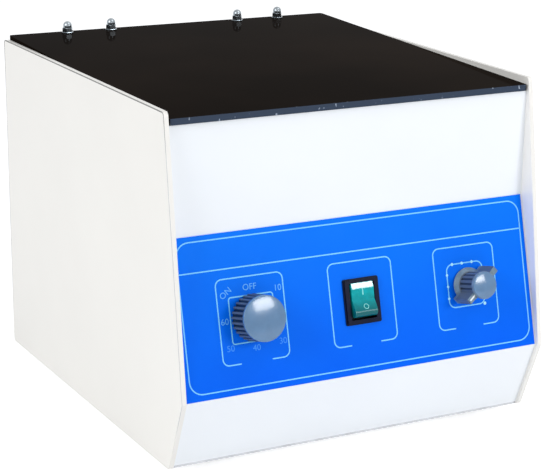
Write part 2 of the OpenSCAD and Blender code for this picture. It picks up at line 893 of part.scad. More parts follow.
// Round end cap with ears for the through bolts
module cap_disc(z, h) {
    on_spindle()
        translate([0, 0, z])
            linear_extrude(h) {
                circle(r = motor_r);
                for (a = [45:90:315])
                    rotate(a) translate([motor_r + 5, 0]) circle(r = 5.5, $fn = 32);
                for (a = [45:90:315])
                    rotate(a) translate([motor_r - 1, -5]) square([6, 10]);
            }
}

module bolt_holes(z, h) {
    motor_bolt_places() translate([0, 0, z - 1]) cylinder(r = screw_r + 0.2, h = h + 2, $fn = 24);
}

module motor_upper_cap() {
    boss_r = bearing_r + boss_wall;
    color([0.62, 0.63, 0.65])
        difference() {
            union() {
                cap_disc(top_cap_z, ear_h);
                on_spindle() translate([0, 0, top_cap_z + 1]) cylinder(r = motor_r - 0.6, h = top_cap_h - 1);
                on_spindle() translate([0, 0, motor_top - 1]) cylinder(r = boss_r, h = boss_h + 1);
            }
            on_spindle() {
                translate([0, 0, top_cap_z - 1]) cylinder(r = motor_r - can_t, h = top_cap_h - cap_floor + 1);
                translate([0, 0, top_cap_z]) cylinder(r = bearing_r + 0.02, h = top_cap_h + boss_h - 1.5);
                cylinder(r = shaft_r + 2, h = motor_top + boss_h + 1);
                for (a = [0:30:330])
                    rotate([0, 0, a])
                        translate([(boss_r + motor_r) / 2, 0, motor_top - cap_floor / 2])
                            cube([(motor_r - boss_r) * 0.55, 5, 2 * cap_floor], center = true);
            }
            bolt_holes(top_cap_z, ear_h);
        }
}

module motor_lower_cap() {
    boss_r = bearing_r + boss_wall;
    color([0.62, 0.63, 0.65])
        difference() {
            union() {
                cap_disc(low_cap_z, low_cap_h);
                on_spindle() translate([0, 0, low_cap_z - boss_h]) cylinder(r = boss_r, h = boss_h + 1);
            }
            on_spindle() {
                translate([0, 0, low_cap_z + cap_floor]) cylinder(r = motor_r - can_t, h = low_cap_h);
                translate([0, 0, low_cap_z - boss_h + 1.5])
                    cylinder(r = bearing_r + 0.02, h = low_cap_h + boss_h);
                translate([0, 0, low_cap_z - boss_h - 1]) cylinder(r = shaft_r + 2, h = boss_h);
                for (a = [22.5:45:337.5])
                    rotate([0, 0, a])
                        translate([(boss_r + motor_r) / 2, 0, low_cap_z + cap_floor / 2])
                            cube([(motor_r - boss_r) * 0.5, 6, 2 * cap_floor], center = true);
            }
            bolt_holes(low_cap_z, low_cap_h);
        }
}

module motor_bolts() {
    color([0.72, 0.73, 0.74])
        motor_bolt_places()
            translate([0, 0, plate_z])
                pan_screw(screw_r, top_cap_z + ear_h - plate_z + 4);
    color([0.72, 0.73, 0.74])
        motor_bolt_places() translate([0, 0, top_cap_z + ear_h]) hex_nut(7, 3.2, screw_r + 0.05);
}

// Pole shoe: the part of a ring within an angle either side of the X axis
module pole_sector(r_out, r_in, half, h) {
    reach = 2 * r_out;
    intersection() {
        ring(r_out, r_in, h);
        linear_extrude(h) polygon([[0, 0], [reach, -reach * tan(half)], [reach, reach * tan(half)]]);
    }
}

module stator_core() {
    z = core_z - 2;
    h = core_h + 4;
    yoke = 7;
    color([0.42, 0.42, 0.44])
        on_spindle()
            translate([0, 0, z])
                for (a = [0, 180])
                    rotate([0, 0, a]) {
                        difference() {
                            ring(stator_out, stator_out - yoke, h);
                            translate([-2 * stator_out, -stator_out, -1])
                                cube([2 * stator_out, 2 * stator_out, h + 2]);
                        }
                        pole_sector(stator_out - yoke + 1, stator_in, 25, h);
                        pole_sector(stator_in + 4, stator_in, 55, h);
                    }
}

module field_coils() {
    z = core_z - 7;
    h = core_h + 14;
    color([0.72, 0.4, 0.2])
        on_spindle()
            translate([0, 0, z])
                for (a = [0, 180])
                    rotate([0, 0, a])
                        difference() {
                            pole_sector(stator_out - 8, stator_in + 4.3, 50, h);
                            translate([0, 0, 4.7]) pole_sector(stator_out, stator_in - 1, 25.6, core_h + 4.6);
                        }
}

module winding_head() {
    rotate_extrude()
        polygon(rounded([[shaft_r + 1, 0], [armature_r - 2, 0], [armature_r - 4, winding_h + 1],
            [shaft_r + 1, winding_h + 1]], 1));
}

module armature() {
    slots = 12;
    color([0.45, 0.45, 0.47])
        on_spindle()
            translate([0, 0, core_z])
                difference() {
                    union() {
                        cylinder(r = armature_r, h = core_h);
                        translate([0, 0, 1]) mirror([0, 0, 1]) winding_head();
                        translate([0, 0, core_h - 1]) winding_head();
                    }
                    for (k = [0:slots - 1])
                        rotate([0, 0, k * 360 / slots])
                            translate([armature_r - 1.5, -1, -1]) cube([3, 2, core_h + 2]);
                    translate([0, 0, -winding_h - 1])
                        cylinder(r = shaft_r + hub_gap, h = core_h + 2 * winding_h + 2);
                }
}

module commutator() {
    bars = 24;
    color([0.75, 0.45, 0.25])
        on_spindle()
            translate([0, 0, commutator_z])
                difference() {
                    cylinder(r = commutator_r, h = commutator_h);
                    translate([0, 0, -1]) cylinder(r = shaft_r + hub_gap, h = commutator_h + 2);
                    for (k = [0:bars - 1])
                        rotate([0, 0, k * 360 / bars])
                            translate([commutator_r - 0.6, -0.25, -1]) cube([2, 0.5, commutator_h + 2]);
                }
}

module cooling_fan() {
    fan_h = 7;
    blades = 9;
    z = top_cap_z + 2;
    color([0.2, 0.2, 0.22])
        on_spindle()
            translate([0, 0, z])
                difference() {
                    union() {
                        cylinder(r = 9, h = fan_h);
                        cylinder(r = motor_r - can_t - 6, h = 1.2);
                        for (k = [0:blades - 1])
                            rotate([0, 0, k * 360 / blades])
                                translate([8, -0.6, 0]) cube([motor_r - can_t - 6 - 9, 1.2, fan_h]);
                    }
                    translate([0, 0, -1]) cylinder(r = shaft_r + hub_gap, h = fan_h + 2);
                }
}

module motor_bearings() {
    race = 2.2;
    color([0.7, 0.71, 0.73])
        on_spindle()
            for (z = [low_cap_z - boss_h + 1.5, motor_top + boss_h - 1.5 - bearing_w])
                translate([0, 0, z])
                    difference() {
                        ring(bearing_r, shaft_r + run_gap, bearing_w);
                        for (face = [-1, bearing_w - 0.6])
                            translate([0, 0, face]) ring(bearing_r - race, shaft_r + race, 1.6);
                    }
}

module brush_holders() {
    wall = 1;
    box = brush_w + 2 * wall;
    leg_h = brush_z - low_cap_z - cap_floor;
    color([0.78, 0.65, 0.3])
        on_spindle()
            for (a = [0, 180])
                rotate([0, 0, a])
                    translate([commutator_r + 2.5, 0, brush_z])
                        difference() {
                            union() {
                                translate([0, -box / 2, -box / 2])
                                    cube([motor_r - can_t - commutator_r - 3.1, box, box]);
                                translate([8, -box / 2, -leg_h]) cube([12, box, leg_h]);
                            }
                            translate([-1, -brush_w / 2 - 0.05, -brush_w / 2 - 0.05])
                                cube([motor_r - can_t - commutator_r - 4, brush_w + 0.1, brush_w + 0.1]);
                        }
}

module carbon_brushes() {
    color([0.12, 0.12, 0.13])
        on_spindle()
            for (a = [0, 180])
                rotate([0, 0, a])
                    difference() {
                        translate([commutator_r - 1, -brush_w / 2, brush_z - brush_w / 2])
                            cube([16, brush_w, brush_w]);
                        translate([0, 0, commutator_z]) cylinder(r = commutator_r + 0.1, h = commutator_h);
                    }
}

module motor_plate() {
    color([0.7, 0.72, 0.73])
        difference() {
            on_spindle()
                translate([0, 0, plate_z])
                    linear_extrude(plate_t) polygon(rounded(oblong(2 * plate_half, 2 * plate_half), damper_r));
            on_spindle() cylinder(r = bearing_r + boss_wall + fit_gap, h = motor_top);
            on_spindle() at_corners(damper_x, damper_x) cylinder(r = stud_r + 0.2, h = motor_top, $fn = 24);
            bolt_holes(plate_z, plate_t);
            for (a = [0:90:270])
                on_spindle()
                    rotate([0, 0, a])
                        translate([damper_x - 8, 0, plate_z - 1])
                            linear_extrude(plate_t + 2) polygon(rounded(oblong(14, 44), 5));
        }
}

module rubber_dampers() {
    waist = 1.5;
    color([0.09, 0.09, 0.1])
        on_spindle()
            at_corners(damper_x, damper_x)
                difference() {
                    translate([0, 0, sheet_t])
                        rotate_extrude($fn = 48)
                            polygon([[0, 0], [damper_r, 0], [damper_r - waist, damper_h / 3],
                                [damper_r - waist, damper_h * 2 / 3], [damper_r, damper_h], [0, damper_h]]);
                    cylinder(r = stud_r + 0.05, h = sheet_t + 5.05, $fn = 32);
                    translate([0, 0, plate_z - 5.05]) cylinder(r = stud_r + 0.05, h = 10, $fn = 32);
                }
}

module damper_studs() {
    nut = 4;
    color([0.72, 0.73, 0.74])
        on_spindle()
            at_corners(damper_x, damper_x) {
                translate([0, 0, -nut - 1]) cylinder(r = stud_r, h = nut + 1 + sheet_t + 5, $fn = 32);
                translate([0, 0, -nut]) hex_nut(8, nut, stud_r + 0.05);
                translate([0, 0, plate_z - 5]) cylinder(r = stud_r, h = 5 + plate_t + nut + 1, $fn = 32);
                translate([0, 0, plate_z + plate_t]) hex_nut(8, nut, stud_r + 0.05);
            }
}

// Controls

module control_overlay() {
    plane = norm([fold_back + low_out, fold_h - kink_h]);
    w = inner_w - 2 * overlay_gap;
    color([0.0, 0.42, 0.97])
        difference() {
            on_panel(0, plane / 2) linear_extrude(overlay_t) square([w, plane - 0.4], center = true);
            on_panel(timer_x, row_v) panel_hole(bush_r + fit_gap);
            on_panel(speed_x, row_v) panel_hole(bush_r + fit_gap);
            on_panel(switch_x, row_v) switch_hole();
        }
}

module threaded_bush() {
    translate([0, 0, -sheet_t - 1])
        cylinder(r = bush_r, h = 1 + sheet_t + overlay_t + hex_t + 1, $fn = 48);
}

module timer_unit() {
    color([0.85, 0.85, 0.82])
        on_panel(timer_x, row_v)
            difference() {
                union() {
                    translate([0, 0, -sheet_t - timer_depth])
                        linear_extrude(timer_depth) polygon(rounded(oblong(timer_body, timer_body), 4));
                    threaded_bush();
                }
                translate([0, 0, -timer_depth + 4])
                    cylinder(r = spindle_r + run_gap, h = timer_depth + 20, $fn = 48);
            }
}

module timer_shaft() {
    bottom = -timer_depth + 4.5;
    color([0.75, 0.76, 0.77])
        on_panel(timer_x, row_v)
            translate([0, 0, bottom]) cylinder(r = spindle_r, h = timer_knob_h - 4.5 - bottom, $fn = 48);
}

module panel_nut(x) {
    on_panel(x, row_v) translate([0, 0, overlay_t]) hex_nut(12, hex_t, bush_r + 0.05);
}

module timer_nut() {
    color([0.75, 0.76, 0.77]) panel_nut(timer_x);
}

module timer_knob() {
    lift = overlay_t + knob_lift;
    flutes = 28;
    flute_r = 1.1;
    color([0.46, 0.55, 0.65])
        on_panel(timer_x, row_v)
            difference() {
                rotate_extrude($fn = 96)
                    polygon([[0, lift + 4], [8.5, lift + 4], [8.5, lift], [timer_knob_r, lift],
                        [timer_knob_r - 0.4, timer_knob_h - 1.2], [timer_knob_r - 1.3, timer_knob_h - 0.3],
                        [timer_knob_r - 2.4, timer_knob_h - 0.3], [0, timer_knob_h]]);
                for (k = [0:flutes - 1])
                    rotate([0, 0, k * 360 / flutes])
                        translate([timer_knob_r + 0.1, 0, 0])
                            cylinder(r = flute_r, h = timer_knob_h + 1, $fn = 16);
                cylinder(r = spindle_r + hub_gap, h = timer_knob_h - 4.2, $fn = 48);
            }
}

module speed_pot() {
    color([0.3, 0.31, 0.32])
        on_panel(speed_x, row_v)
            difference() {
                union() {
                    translate([0, 0, -sheet_t - pot_depth]) cylinder(r = pot_r, h = pot_depth, $fn = 64);
                    threaded_bush();
                    for (i = [-1, 0, 1])
                        translate([5 * i - 1.2, -pot_r - 6, -sheet_t - 4]) cube([2.4, 10, 0.8]);
                }
                translate([0, 0, -pot_depth + 1])
                    cylinder(r = spindle_r + run_gap, h = pot_depth + 20, $fn = 48);
            }
}

module pot_shaft() {
    bottom = -pot_depth + 1.5;
    color([0.75, 0.76, 0.77])
        on_panel(speed_x, row_v)
            translate([0, 0, bottom]) cylinder(r = spindle_r, h = speed_knob_h - 6 - bottom, $fn = 48);
}

module pot_nut() {
    color([0.75, 0.76, 0.77]) panel_nut(speed_x);
}

module speed_knob() {
    lift = overlay_t + knob_lift;
    skirt_top = lift + 3.6;
    neck = speed_knob_h - 3;
    flutes = 16;
    flute_r = 0.9;
    color([0.46, 0.55, 0.65])
        on_panel(speed_x, row_v)
            difference() {
                union() {
                    difference() {
                        rotate_extrude($fn = 96)
                            polygon([[0, lift], [skirt_r - 0.3, lift], [skirt_r, lift + 0.8],
                                [shank_r + 0.2, skirt_top], [shank_r, skirt_top], [shank_r, neck],
                                [cap_r, neck + 0.6], [cap_r, speed_knob_h - 1],
                                [cap_r - cap_bevel[0], speed_knob_h - cap_bevel[1]], [0, speed_knob_h]]);
                        for (k = [0:flutes - 1])
                            rotate([0, 0, (k + 0.5) * 360 / flutes])
                                translate([shank_r + 0.2, 0, skirt_top + 0.4])
                                    cylinder(r = flute_r, h = neck - skirt_top - 0.8, $fn = 16);
                    }
                    for (side = [0, 180])
                        rotate([0, 0, pointer_angle + side]) wing();
                }
                cylinder(r = 7.5, h = lift + 3.4, $fn = 48);
                cylinder(r = spindle_r + hub_gap, h = speed_knob_h - 5.5, $fn = 48);
            }
}

// Wing of the speed knob along +X
module wing() {
    low = overlay_t + knob_lift + 0.6;
    high = speed_knob_h - wing_drop;
    edge = 0.6;
    translate([0, wing_w / 2, 0])
        rotate([90, 0, 0])
            linear_extrude(wing_w)
                polygon([[spindle_r + 1, low], [wing_r - edge, low], [wing_r, low + edge],
                    [wing_r, high - edge], [wing_r - edge, high], [spindle_r + 1, high]]);
}

module switch_housing() {
    body_h = 2 * well_half + switch_wall;
    well_w = rocker_w + 2 * well_gap;
    color([0.05, 0.06, 0.08])
        on_panel(switch_x, row_v)
            difference() {
                union() {
                    translate([0, 0, -switch_depth])
                        linear_extrude(switch_depth + 1) square([switch_body_w, body_h], center = true);
                    translate([0, 0, overlay_t]) {
                        linear_extrude(bezel_t * 0.55) polygon(rounded(oblong(bezel_w, bezel_h), 1.2));
                        linear_extrude(bezel_t) polygon(rounded(oblong(bezel_w - 1.6, bezel_h - 1.6), 1));
                    }
                }
                translate([0, 0, -8]) linear_extrude(20) square([well_w, 2 * well_half], center = true);
                translate([0, 0, rocker_pivot])
                    rotate([0, 90, 0])
                        cylinder(r = 1.5 + run_gap, h = switch_body_w + 2, center = true, $fn = 32);
            }
}

// Rocker in its ON position: upper end pressed in, lower end out
module switch_rocker() {
    nose_at = [rocker_half - rocker_nose, rocker_edge - rocker_nose];
    reach = nose_at - [0, rocker_dip];
    slope = atan2(reach[1], reach[0]) + asin(rocker_nose / norm(reach));
    top = concat(arc(nose_at, rocker_nose, 0, 90 + slope), [[0, rocker_dip]],
        arc([-nose_at[0], nose_at[1]], rocker_nose, 90 - slope, 180));
    under = arc([0, rocker_pivot], 5.5, 200, 340);
    color([0.0, 0.5, 0.42])
        on_panel(switch_x, row_v)
            translate([0, 0, rocker_pivot])
                rotate([-rocker_tilt, 0, 0])
                    translate([0, 0, -rocker_pivot]) {
                        translate([-rocker_w / 2, 0, 0])
                            rotate([90, 0, 90])
                                linear_extrude(rocker_w)
                                    polygon(concat(top, [[0.4 - rocker_half, 0]], under,
                                        [[rocker_half - 0.4, 0]]));
                        translate([0, 0, rocker_pivot])
                            rotate([0, 90, 0])
                                cylinder(r = 1.5, h = switch_body_w - 0.4, center = true, $fn = 32);
                    }
}

module switch_tags() {
    color([0.85, 0.78, 0.5])
        on_panel(switch_x, row_v)
            for (x = [-5, 5], y = [-7, 7])
                translate([x - 0.4, y - 3.15, -switch_depth - 10]) cube([0.8, 6.3, 10]);
}

// Electronics beside the motor

board_w = 46;
board_d = 96;
board_x = (inner_w / 2 + plate_half) / 2;
standoff_h = 8;

module on_board() {
    in_case() translate([board_x, spindle_back, sheet_t + standoff_h]) children();
}

module board_holes(h) {
    at_corners(board_w / 2 - 4, board_d / 2 - 4) cylinder(r = 1.6, h = h, center = true, $fn = 24);
}

module control_board() {
    color([0.12, 0.4, 0.22])
        on_board() {
            difference() {
                translate([-board_w / 2, -board_d / 2, 0]) cube([board_w, board_d, 1.6]);
                board_holes(6);
            }
            translate([-12, 30, 1.6]) cylinder(r = 7, h = 22, $fn = 40);
            translate([6, 30, 1.6]) cylinder(r = 5, h = 14, $fn = 40);
            translate([-16, -42, 1.6]) cube([32, 9, 11]);
            translate([-16, 2, 1.6]) cube([18, 13, 12]);
            translate([8, 6, 1.6]) cube([9.6, 6.4, 3.6]);
        }
}

module board_standoffs() {
    color([0.8, 0.78, 0.6])
        on_board()
            translate([0, 0, -standoff_h])
                at_corners(board_w / 2 - 4, board_d / 2 - 4) {
                    hexagon(5.5, standoff_h);
                    cylinder(r = 1.5, h = standoff_h + 1.6, $fn = 24);
                    translate([0, 0, standoff_h + 1.6]) cylinder(r = 2.7, h = 1.8, $fn = 32);
                }
}

module heat_sink() {
    fins = 7;
    sink_w = 34;
    sink_h = 32;
    color([0.15, 0.15, 0.16])
        on_board()
            translate([-sink_w / 2, -26, 1.6]) {
                cube([sink_w, 3, sink_h]);
                for (i = [0:fins - 1])
                    translate([i * (sink_w - 1.4) / (fins - 1), 2, 0]) cube([1.4, 15, sink_h]);
            }
}

// Rear fittings

module socket_outline() {
    polygon([[-12.2, -8.2], [12.2, -8.2], [12.2, 4.2], [8.2, 8.2], [-8.2, 8.2], [-12.2, 4.2]]);
}

module mains_inlet() {
    depth = 22;
    face = 3;
    color([0.06, 0.06, 0.07])
        on_rear(inlet_x, inlet_h)
            difference() {
                union() {
                    linear_extrude(face) polygon(rounded(oblong(inlet_flange_w, inlet_flange_h), 3));
                    translate([0, 0, face - depth])
                        linear_extrude(depth) square([inlet_w, inlet_tall], center = true);
                }
                translate([0, 0, -16.5 + face]) linear_extrude(20) socket_outline();
                for (side = [-1, 1])
                    translate([side * inlet_screw, 0, -1]) cylinder(r = 1.7, h = 6, $fn = 24);
                translate([0, 0, -depth]) inlet_pin_shapes(depth, 0.02);
            }
}

module inlet_pin_shapes(length, gap) {
    for (p = [[-7, -2, 0], [7, -2, 0], [0, 2, 0]])
        translate([p[0] - 1 - gap, p[1] - 2 - gap, 0]) cube([2 + 2 * gap, 4 + 2 * gap, length]);
}

module inlet_pins() {
    color([0.78, 0.79, 0.8])
        on_rear(inlet_x, inlet_h) {
            translate([0, 0, -27]) inlet_pin_shapes(25, 0);
            for (side = [-1, 1])
                translate([side * inlet_screw, 0, 3]) mirror([0, 0, 1]) pan_screw(1.5, 10);
        }
}

module fuse_holder() {
    color([0.06, 0.06, 0.07])
        on_rear(fuse_x, inlet_h)
            difference() {
                union() {
                    cylinder(r = fuse_body_r + 2, h = 2, $fn = 48);
                    translate([0, 0, -30]) cylinder(r = fuse_body_r, h = 31, $fn = 48);
                    translate([0, 0, -sheet_t - 4]) hexagon(17, 4);
                }
                translate([0, 0, -27]) cylinder(r = fuse_body_r - 1.5, h = 40, $fn = 48);
            }
}

module fuse_cap() {
    cap = fuse_body_r + 1.3;
    color([0.1, 0.1, 0.11])
        on_rear(fuse_x, inlet_h)
            difference() {
                union() {
                    translate([0, 0, -25]) cylinder(r = fuse_body_r - 1.5 - fit_gap, h = 28, $fn = 40);
                    translate([0, 0, 2]) cylinder(r1 = cap, r2 = cap - 0.5, h = fuse_out - 2, $fn = 48);
                }
                translate([0, 0, fuse_out]) cube([1.6, 9, 3], center = true);
            }
}

left_side_panel();
right_side_panel();
front_panel();
rear_panel();
base_plate();
top_deck();
case_screws();
rubber_feet();
foot_screws();
chamber_bowl();
bowl_rim_trim();
shaft_seal();
lid();
upper_hinge_leaves();
lower_hinge_leaves();
hinge_pins();
lid_screws();
lid_washers();
dome_nuts();
hinge_screws();
lid_bumpers();
rotor_head();
tube_sleeves();
sleeve_cushions();
rotor_nut();
motor_shaft();
motor_can();
motor_upper_cap();
motor_lower_cap();
stator_core();
field_coils();
armature();
commutator();
cooling_fan();
motor_bearings();
brush_holders();
carbon_brushes();
motor_bolts();
motor_plate();
rubber_dampers();
damper_studs();
control_overlay();
timer_unit();
timer_shaft();
timer_nut();
timer_knob();
speed_pot();
pot_shaft();
pot_nut();
speed_knob();
switch_housing();
switch_rocker();
switch_tags();
control_board();
board_standoffs();
heat_sink();
mains_inlet();
inlet_pins();
fuse_holder();
fuse_cap();
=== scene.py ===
import json
import math

import bmesh
import bpy
from mathutils import Matrix, Vector


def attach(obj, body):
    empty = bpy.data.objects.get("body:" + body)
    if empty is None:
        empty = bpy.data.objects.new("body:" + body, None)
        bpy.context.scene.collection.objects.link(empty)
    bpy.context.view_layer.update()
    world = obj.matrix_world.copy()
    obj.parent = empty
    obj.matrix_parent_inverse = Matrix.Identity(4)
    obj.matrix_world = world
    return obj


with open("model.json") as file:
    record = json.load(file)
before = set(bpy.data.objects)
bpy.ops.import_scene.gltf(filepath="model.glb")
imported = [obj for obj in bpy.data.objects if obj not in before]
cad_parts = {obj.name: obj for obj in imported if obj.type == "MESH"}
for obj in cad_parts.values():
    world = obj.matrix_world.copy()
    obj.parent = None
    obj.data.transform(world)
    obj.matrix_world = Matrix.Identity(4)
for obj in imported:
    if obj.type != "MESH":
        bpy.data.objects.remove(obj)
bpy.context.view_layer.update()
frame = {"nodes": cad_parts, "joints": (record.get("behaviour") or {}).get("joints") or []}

MM = 0.001
TO_MM = 1000.0
NODES = frame["nodes"]
JOINTS = {joint["name"]: joint for joint in frame["joints"]}


# Places on the case, in metres

SPINDLE = Vector(JOINTS["rotor_spin"]["pos_m"])
SPINDLE_TO_FRONT = 0.152
CASE_FRONT = SPINDLE.y - SPINDLE_TO_FRONT
FOOT_HEIGHT = 0.008
LID_SET_BACK = 0.0023
OVERLAY_FOOT_Z = 0.065
OVERLAY_HEAD_Z = 0.155
# Heights at which the painted shade along the side panels' bends is gone, fully in, darker and
# darkest
HEM_GONE_Z = 0.028
HEM_CLEAR_Z = 0.05
HEM_DARKER_Z = 0.212
HEM_DARKEST_Z = 0.235
TIMER_CENTRE = Vector(JOINTS["timer_turn"]["pos_m"])
SPEED_CENTRE = Vector(JOINTS["speed_turn"]["pos_m"])
ROCKER_PIVOT = Vector(JOINTS["power_rocker"]["pos_m"])
PANEL_OUT = -Vector(JOINTS["timer_turn"]["axis"]).normalized()
PANEL_UP = PANEL_OUT.cross(Vector((1, 0, 0))).normalized()
PANEL_AXES = Matrix((Vector((1, 0, 0)), PANEL_UP, PANEL_OUT)).transposed().to_4x4()

# Sizes at the control plane, in mm. A face, foot or top is a height above the plane.

ROW_V = 55.9
OVERLAY_TOP = 0.5
PRINT_THICK = 0.04
PRINT_LINE = 0.8
HEM_LINE_WIDTH = 0.9
TIMER_FOOT = 0.0
TIMER_FACE = 18.5
TIMER_RADIUS = 15.2
TIMER_DOME = 80.0
SPEED_FOOT = 4.7
SPEED_FACE = 22.5
SPEED_RADIUS = 9.2
SPEED_DOME = 36.0
SPEED_CREST = 8.6
WING_FACE = 19.5
WING_REACH = 15.2
POINTER_ANGLE = 220.0
POINTER_INSET = 4.2

# The rocker: angles in degrees, lengths in mm

ROCKER_TILT = -11.0
ROCKER_SLOPE = 13.9
ROCKER_DIP = 5.4
# Painted shade on the rocker's green: deepest below the first of these mm along from the crease,
# gone above the second
GREEN_SHADE_BELOW = -7.0
GREEN_UNSHADED_ABOVE = 5.0
END_WIDTH = 16.2
END_LENGTH = 4.2
END_THICK = 3.0
END_CROWN = 40.0
END_SLOPE = 3.5
END_ALONG = 9.0
END_RISE = 7.3
END_RIM_LOW = -1.0


def panel_place(x, v, height=0.0, turn=0.0):
    """Matrix for a place on the control plane, x across and v down from its upper fold, in mm."""
    origin = Vector((x * MM, TIMER_CENTRE.y, TIMER_CENTRE.z))
    origin += PANEL_UP * (ROW_V - v) * MM + PANEL_OUT * height * MM
    return Matrix.Translation(origin) @ PANEL_AXES @ Matrix.Rotation(math.radians(turn), 4, "Z")


def on_knob(centre, height=0.0, turn=0.0):
    """Matrix for a place on a knob's axis, at a height above the control plane in mm."""
    origin = centre + PANEL_OUT * height * MM
    return Matrix.Translation(origin) @ PANEL_AXES @ Matrix.Rotation(math.radians(turn), 4, "Z")


def on_rocker(along, rise, slope=0.0):
    """Matrix that lays a piece made in mm on the tilted rocker, along mm up from its crease."""
    return (Matrix.Translation(ROCKER_PIVOT) @ PANEL_AXES @ Matrix.Scale(MM, 4)
            @ Matrix.Rotation(math.radians(ROCKER_TILT), 4, "X")
            @ Matrix.Translation((0, along, rise)) @ Matrix.Rotation(math.radians(slope), 4, "X"))


# Finishes

COAT_ROUGHNESS = 0.08
FINE_DETAIL = 2.0
CLOUD_START = 0.35
CLOUD_END = 0.65


def linear(red, green, blue):
    """Screen colour, 0 to 255, as the linear colour a shader takes."""
    def one(value):
        value /= 255
        return value / 12.92 if value <= 0.04045 else ((value + 0.055) / 1.055) ** 2.4
    return (one(red), one(green), one(blue), 1.0)


def shade(colour, factor):
    """The colour made darker or lighter by a factor."""
    return (*(min(1.0, channel * factor) for channel in colour[:3]), 1.0)


class Finish:
    """A principled material with its pattern in object coordinates."""

    def __init__(self, name, roughness=0.5, metallic=0.0, specular=0.5, coat=0.0):
        self.material = bpy.data.materials.new(name)
        self.material.use_nodes = True
        self.tree = self.material.node_tree
        self.shader = self.tree.nodes["Principled BSDF"]
        self.shader.inputs["Roughness"].default_value = roughness
        self.shader.inputs["Metallic"].default_value = metallic
        self.shader.inputs["Specular IOR Level"].default_value = specular
        if coat:
            self.shader.inputs["Coat Weight"].default_value = coat
            self.shader.inputs["Coat Roughness"].default_value = COAT_ROUGHNESS
        self.place = self.add("ShaderNodeTexCoord").outputs["Object"]

    def add(self, kind, **settings):
        node = self.tree.nodes.new(kind)
        for key, value in settings.items():
            setattr(node, key, value)
        return node

    def link(self, source, target):
        self.tree.links.new(source, target)

    def feed(self, value, target):
        """Links an output to an input, or sets a plain value on the input itself."""
        if isinstance(value, bpy.types.NodeSocket):
            self.link(value, target)
        else:
            target.default_value = value

    def base(self, colour):
        self.link(colour, self.shader.inputs["Base Color"])

    def mapped(self, **settings):
        """Object coordinates through a mapping node."""
        mapping = self.add("ShaderNodeMapping")
        for key, value in settings.items():
            mapping.inputs[key].default_value = value
        self.link(self.place, mapping.inputs["Vector"])
        return mapping.outputs["Vector"]

    def knob_axes(self, centre):
        """Coordinates in mm from a point on the control plane, with Z out of the plane."""
        turn = PANEL_AXES.to_3x3().transposed()
        return self.mapped(Rotation=turn.to_euler(), Location=turn @ centre * -TO_MM,
                           Scale=(TO_MM, TO_MM, TO_MM))

    def axis_of(self, vector, axis):
        split = self.add("ShaderNodeSeparateXYZ")
        self.link(vector, split.inputs[0])
        return split.outputs[axis]

    def distance_from_axis(self, spot):
        """Length of a vector with its Z left out."""
        flat = self.add("ShaderNodeVectorMath", operation="MULTIPLY")
        flat.inputs[1].default_value = (1, 1, 0)
        self.link(spot, flat.inputs[0])
        reach = self.add("ShaderNodeVectorMath", operation="LENGTH")
        self.link(flat.outputs[0], reach.inputs[0])
        return reach.outputs["Value"]

    def step(self, value, start, end):
        """Rises from 0 to 1 between two values."""
        span = self.add("ShaderNodeMapRange")
        span.inputs["From Min"].default_value = start
        span.inputs["From Max"].default_value = end
        self.link(value, span.inputs["Value"])
        return span.outputs["Result"]

    def blend(self, share, first, second):
        """Colour between two others."""
        mix = self.add("ShaderNodeMix", data_type="RGBA")
        self.feed(share, mix.inputs["Factor"])
        self.feed(first, mix.inputs[6])
        self.feed(second, mix.inputs[7])
        return mix.outputs[2]

    def noise(self, scale, detail=3.0, stretch=None):
        node = self.add("ShaderNodeTexNoise")
        node.inputs["Scale"].default_value = scale
        node.inputs["Detail"].default_value = detail
        self.link(self.mapped(Scale=stretch) if stretch else self.place, node.inputs["Vector"])
        return node.outputs["Fac"]

    def clouds(self, scale, first, second):
        """Two close colours in soft clouds."""
        return self.blend(self.step(self.noise(scale), CLOUD_START, CLOUD_END), first, second)

    def mottled(self, colour, spread, scale, detail=3.0, stretch=None):
        """Base colour that wanders between two close shades."""
        ramp = self.add("ShaderNodeValToRGB")
        dark, light = ramp.color_ramp.elements
        dark.position = CLOUD_START
        dark.color = shade(colour, 1 - spread)
        light.position = CLOUD_END
        light.color = shade(colour, 1 + spread)
        self.link(self.noise(scale, detail, stretch), ramp.inputs["Fac"])
        self.base(ramp.outputs["Color"])
        return ramp.outputs["Color"]

    def uneven_gloss(self, low, high, scale, stretch=None):
        """Roughness that wanders between two values."""
        span = self.add("ShaderNodeMapRange")
        span.inputs["To Min"].default_value = low
        span.inputs["To Max"].default_value = high
        self.link(self.noise(scale, FINE_DETAIL, stretch), span.inputs["Value"])
        self.link(span.outputs["Result"], self.shader.inputs["Roughness"])

    def relief(self, height, depth, strength):
        """Fine relief of the surface, depth in mm."""
        bump = self.add("ShaderNodeBump")
        bump.inputs["Strength"].default_value = strength
        bump.inputs["Distance"].default_value = depth * MM
        self.link(height, bump.inputs["Height"])
        self.link(bump.outputs["Normal"], self.shader.inputs["Normal"])

    def grain(self, scale, depth, strength, stretch=None):
        self.relief(self.noise(scale, FINE_DETAIL, stretch), depth, strength)


def painted_sheet(name, colour, roughness=0.32):
    finish = Finish(name, roughness=roughness, specular=0.45)
    finish.mottled(colour, spread=0.012, scale=9.0)
    finish.uneven_gloss(roughness - 0.04, roughness + 0.06, scale=60.0)
    finish.grain(scale=1100.0, depth=0.05, strength=0.16)
    return finish.material


def turned_metal(name, colour, roughness, along=(1, 1, 30), spread=0.08):
    """Bare metal with fine lines, stretched across the direction of the cut."""
    finish = Finish(name, roughness=roughness, metallic=1.0)
    finish.mottled(colour, spread, scale=220.0, detail=4.0, stretch=along)
    finish.uneven_gloss(roughness - 0.07, roughness + 0.1, scale=260.0, stretch=along)
    finish.grain(scale=900.0, depth=0.02, strength=0.12, stretch=along)
    return finish.material


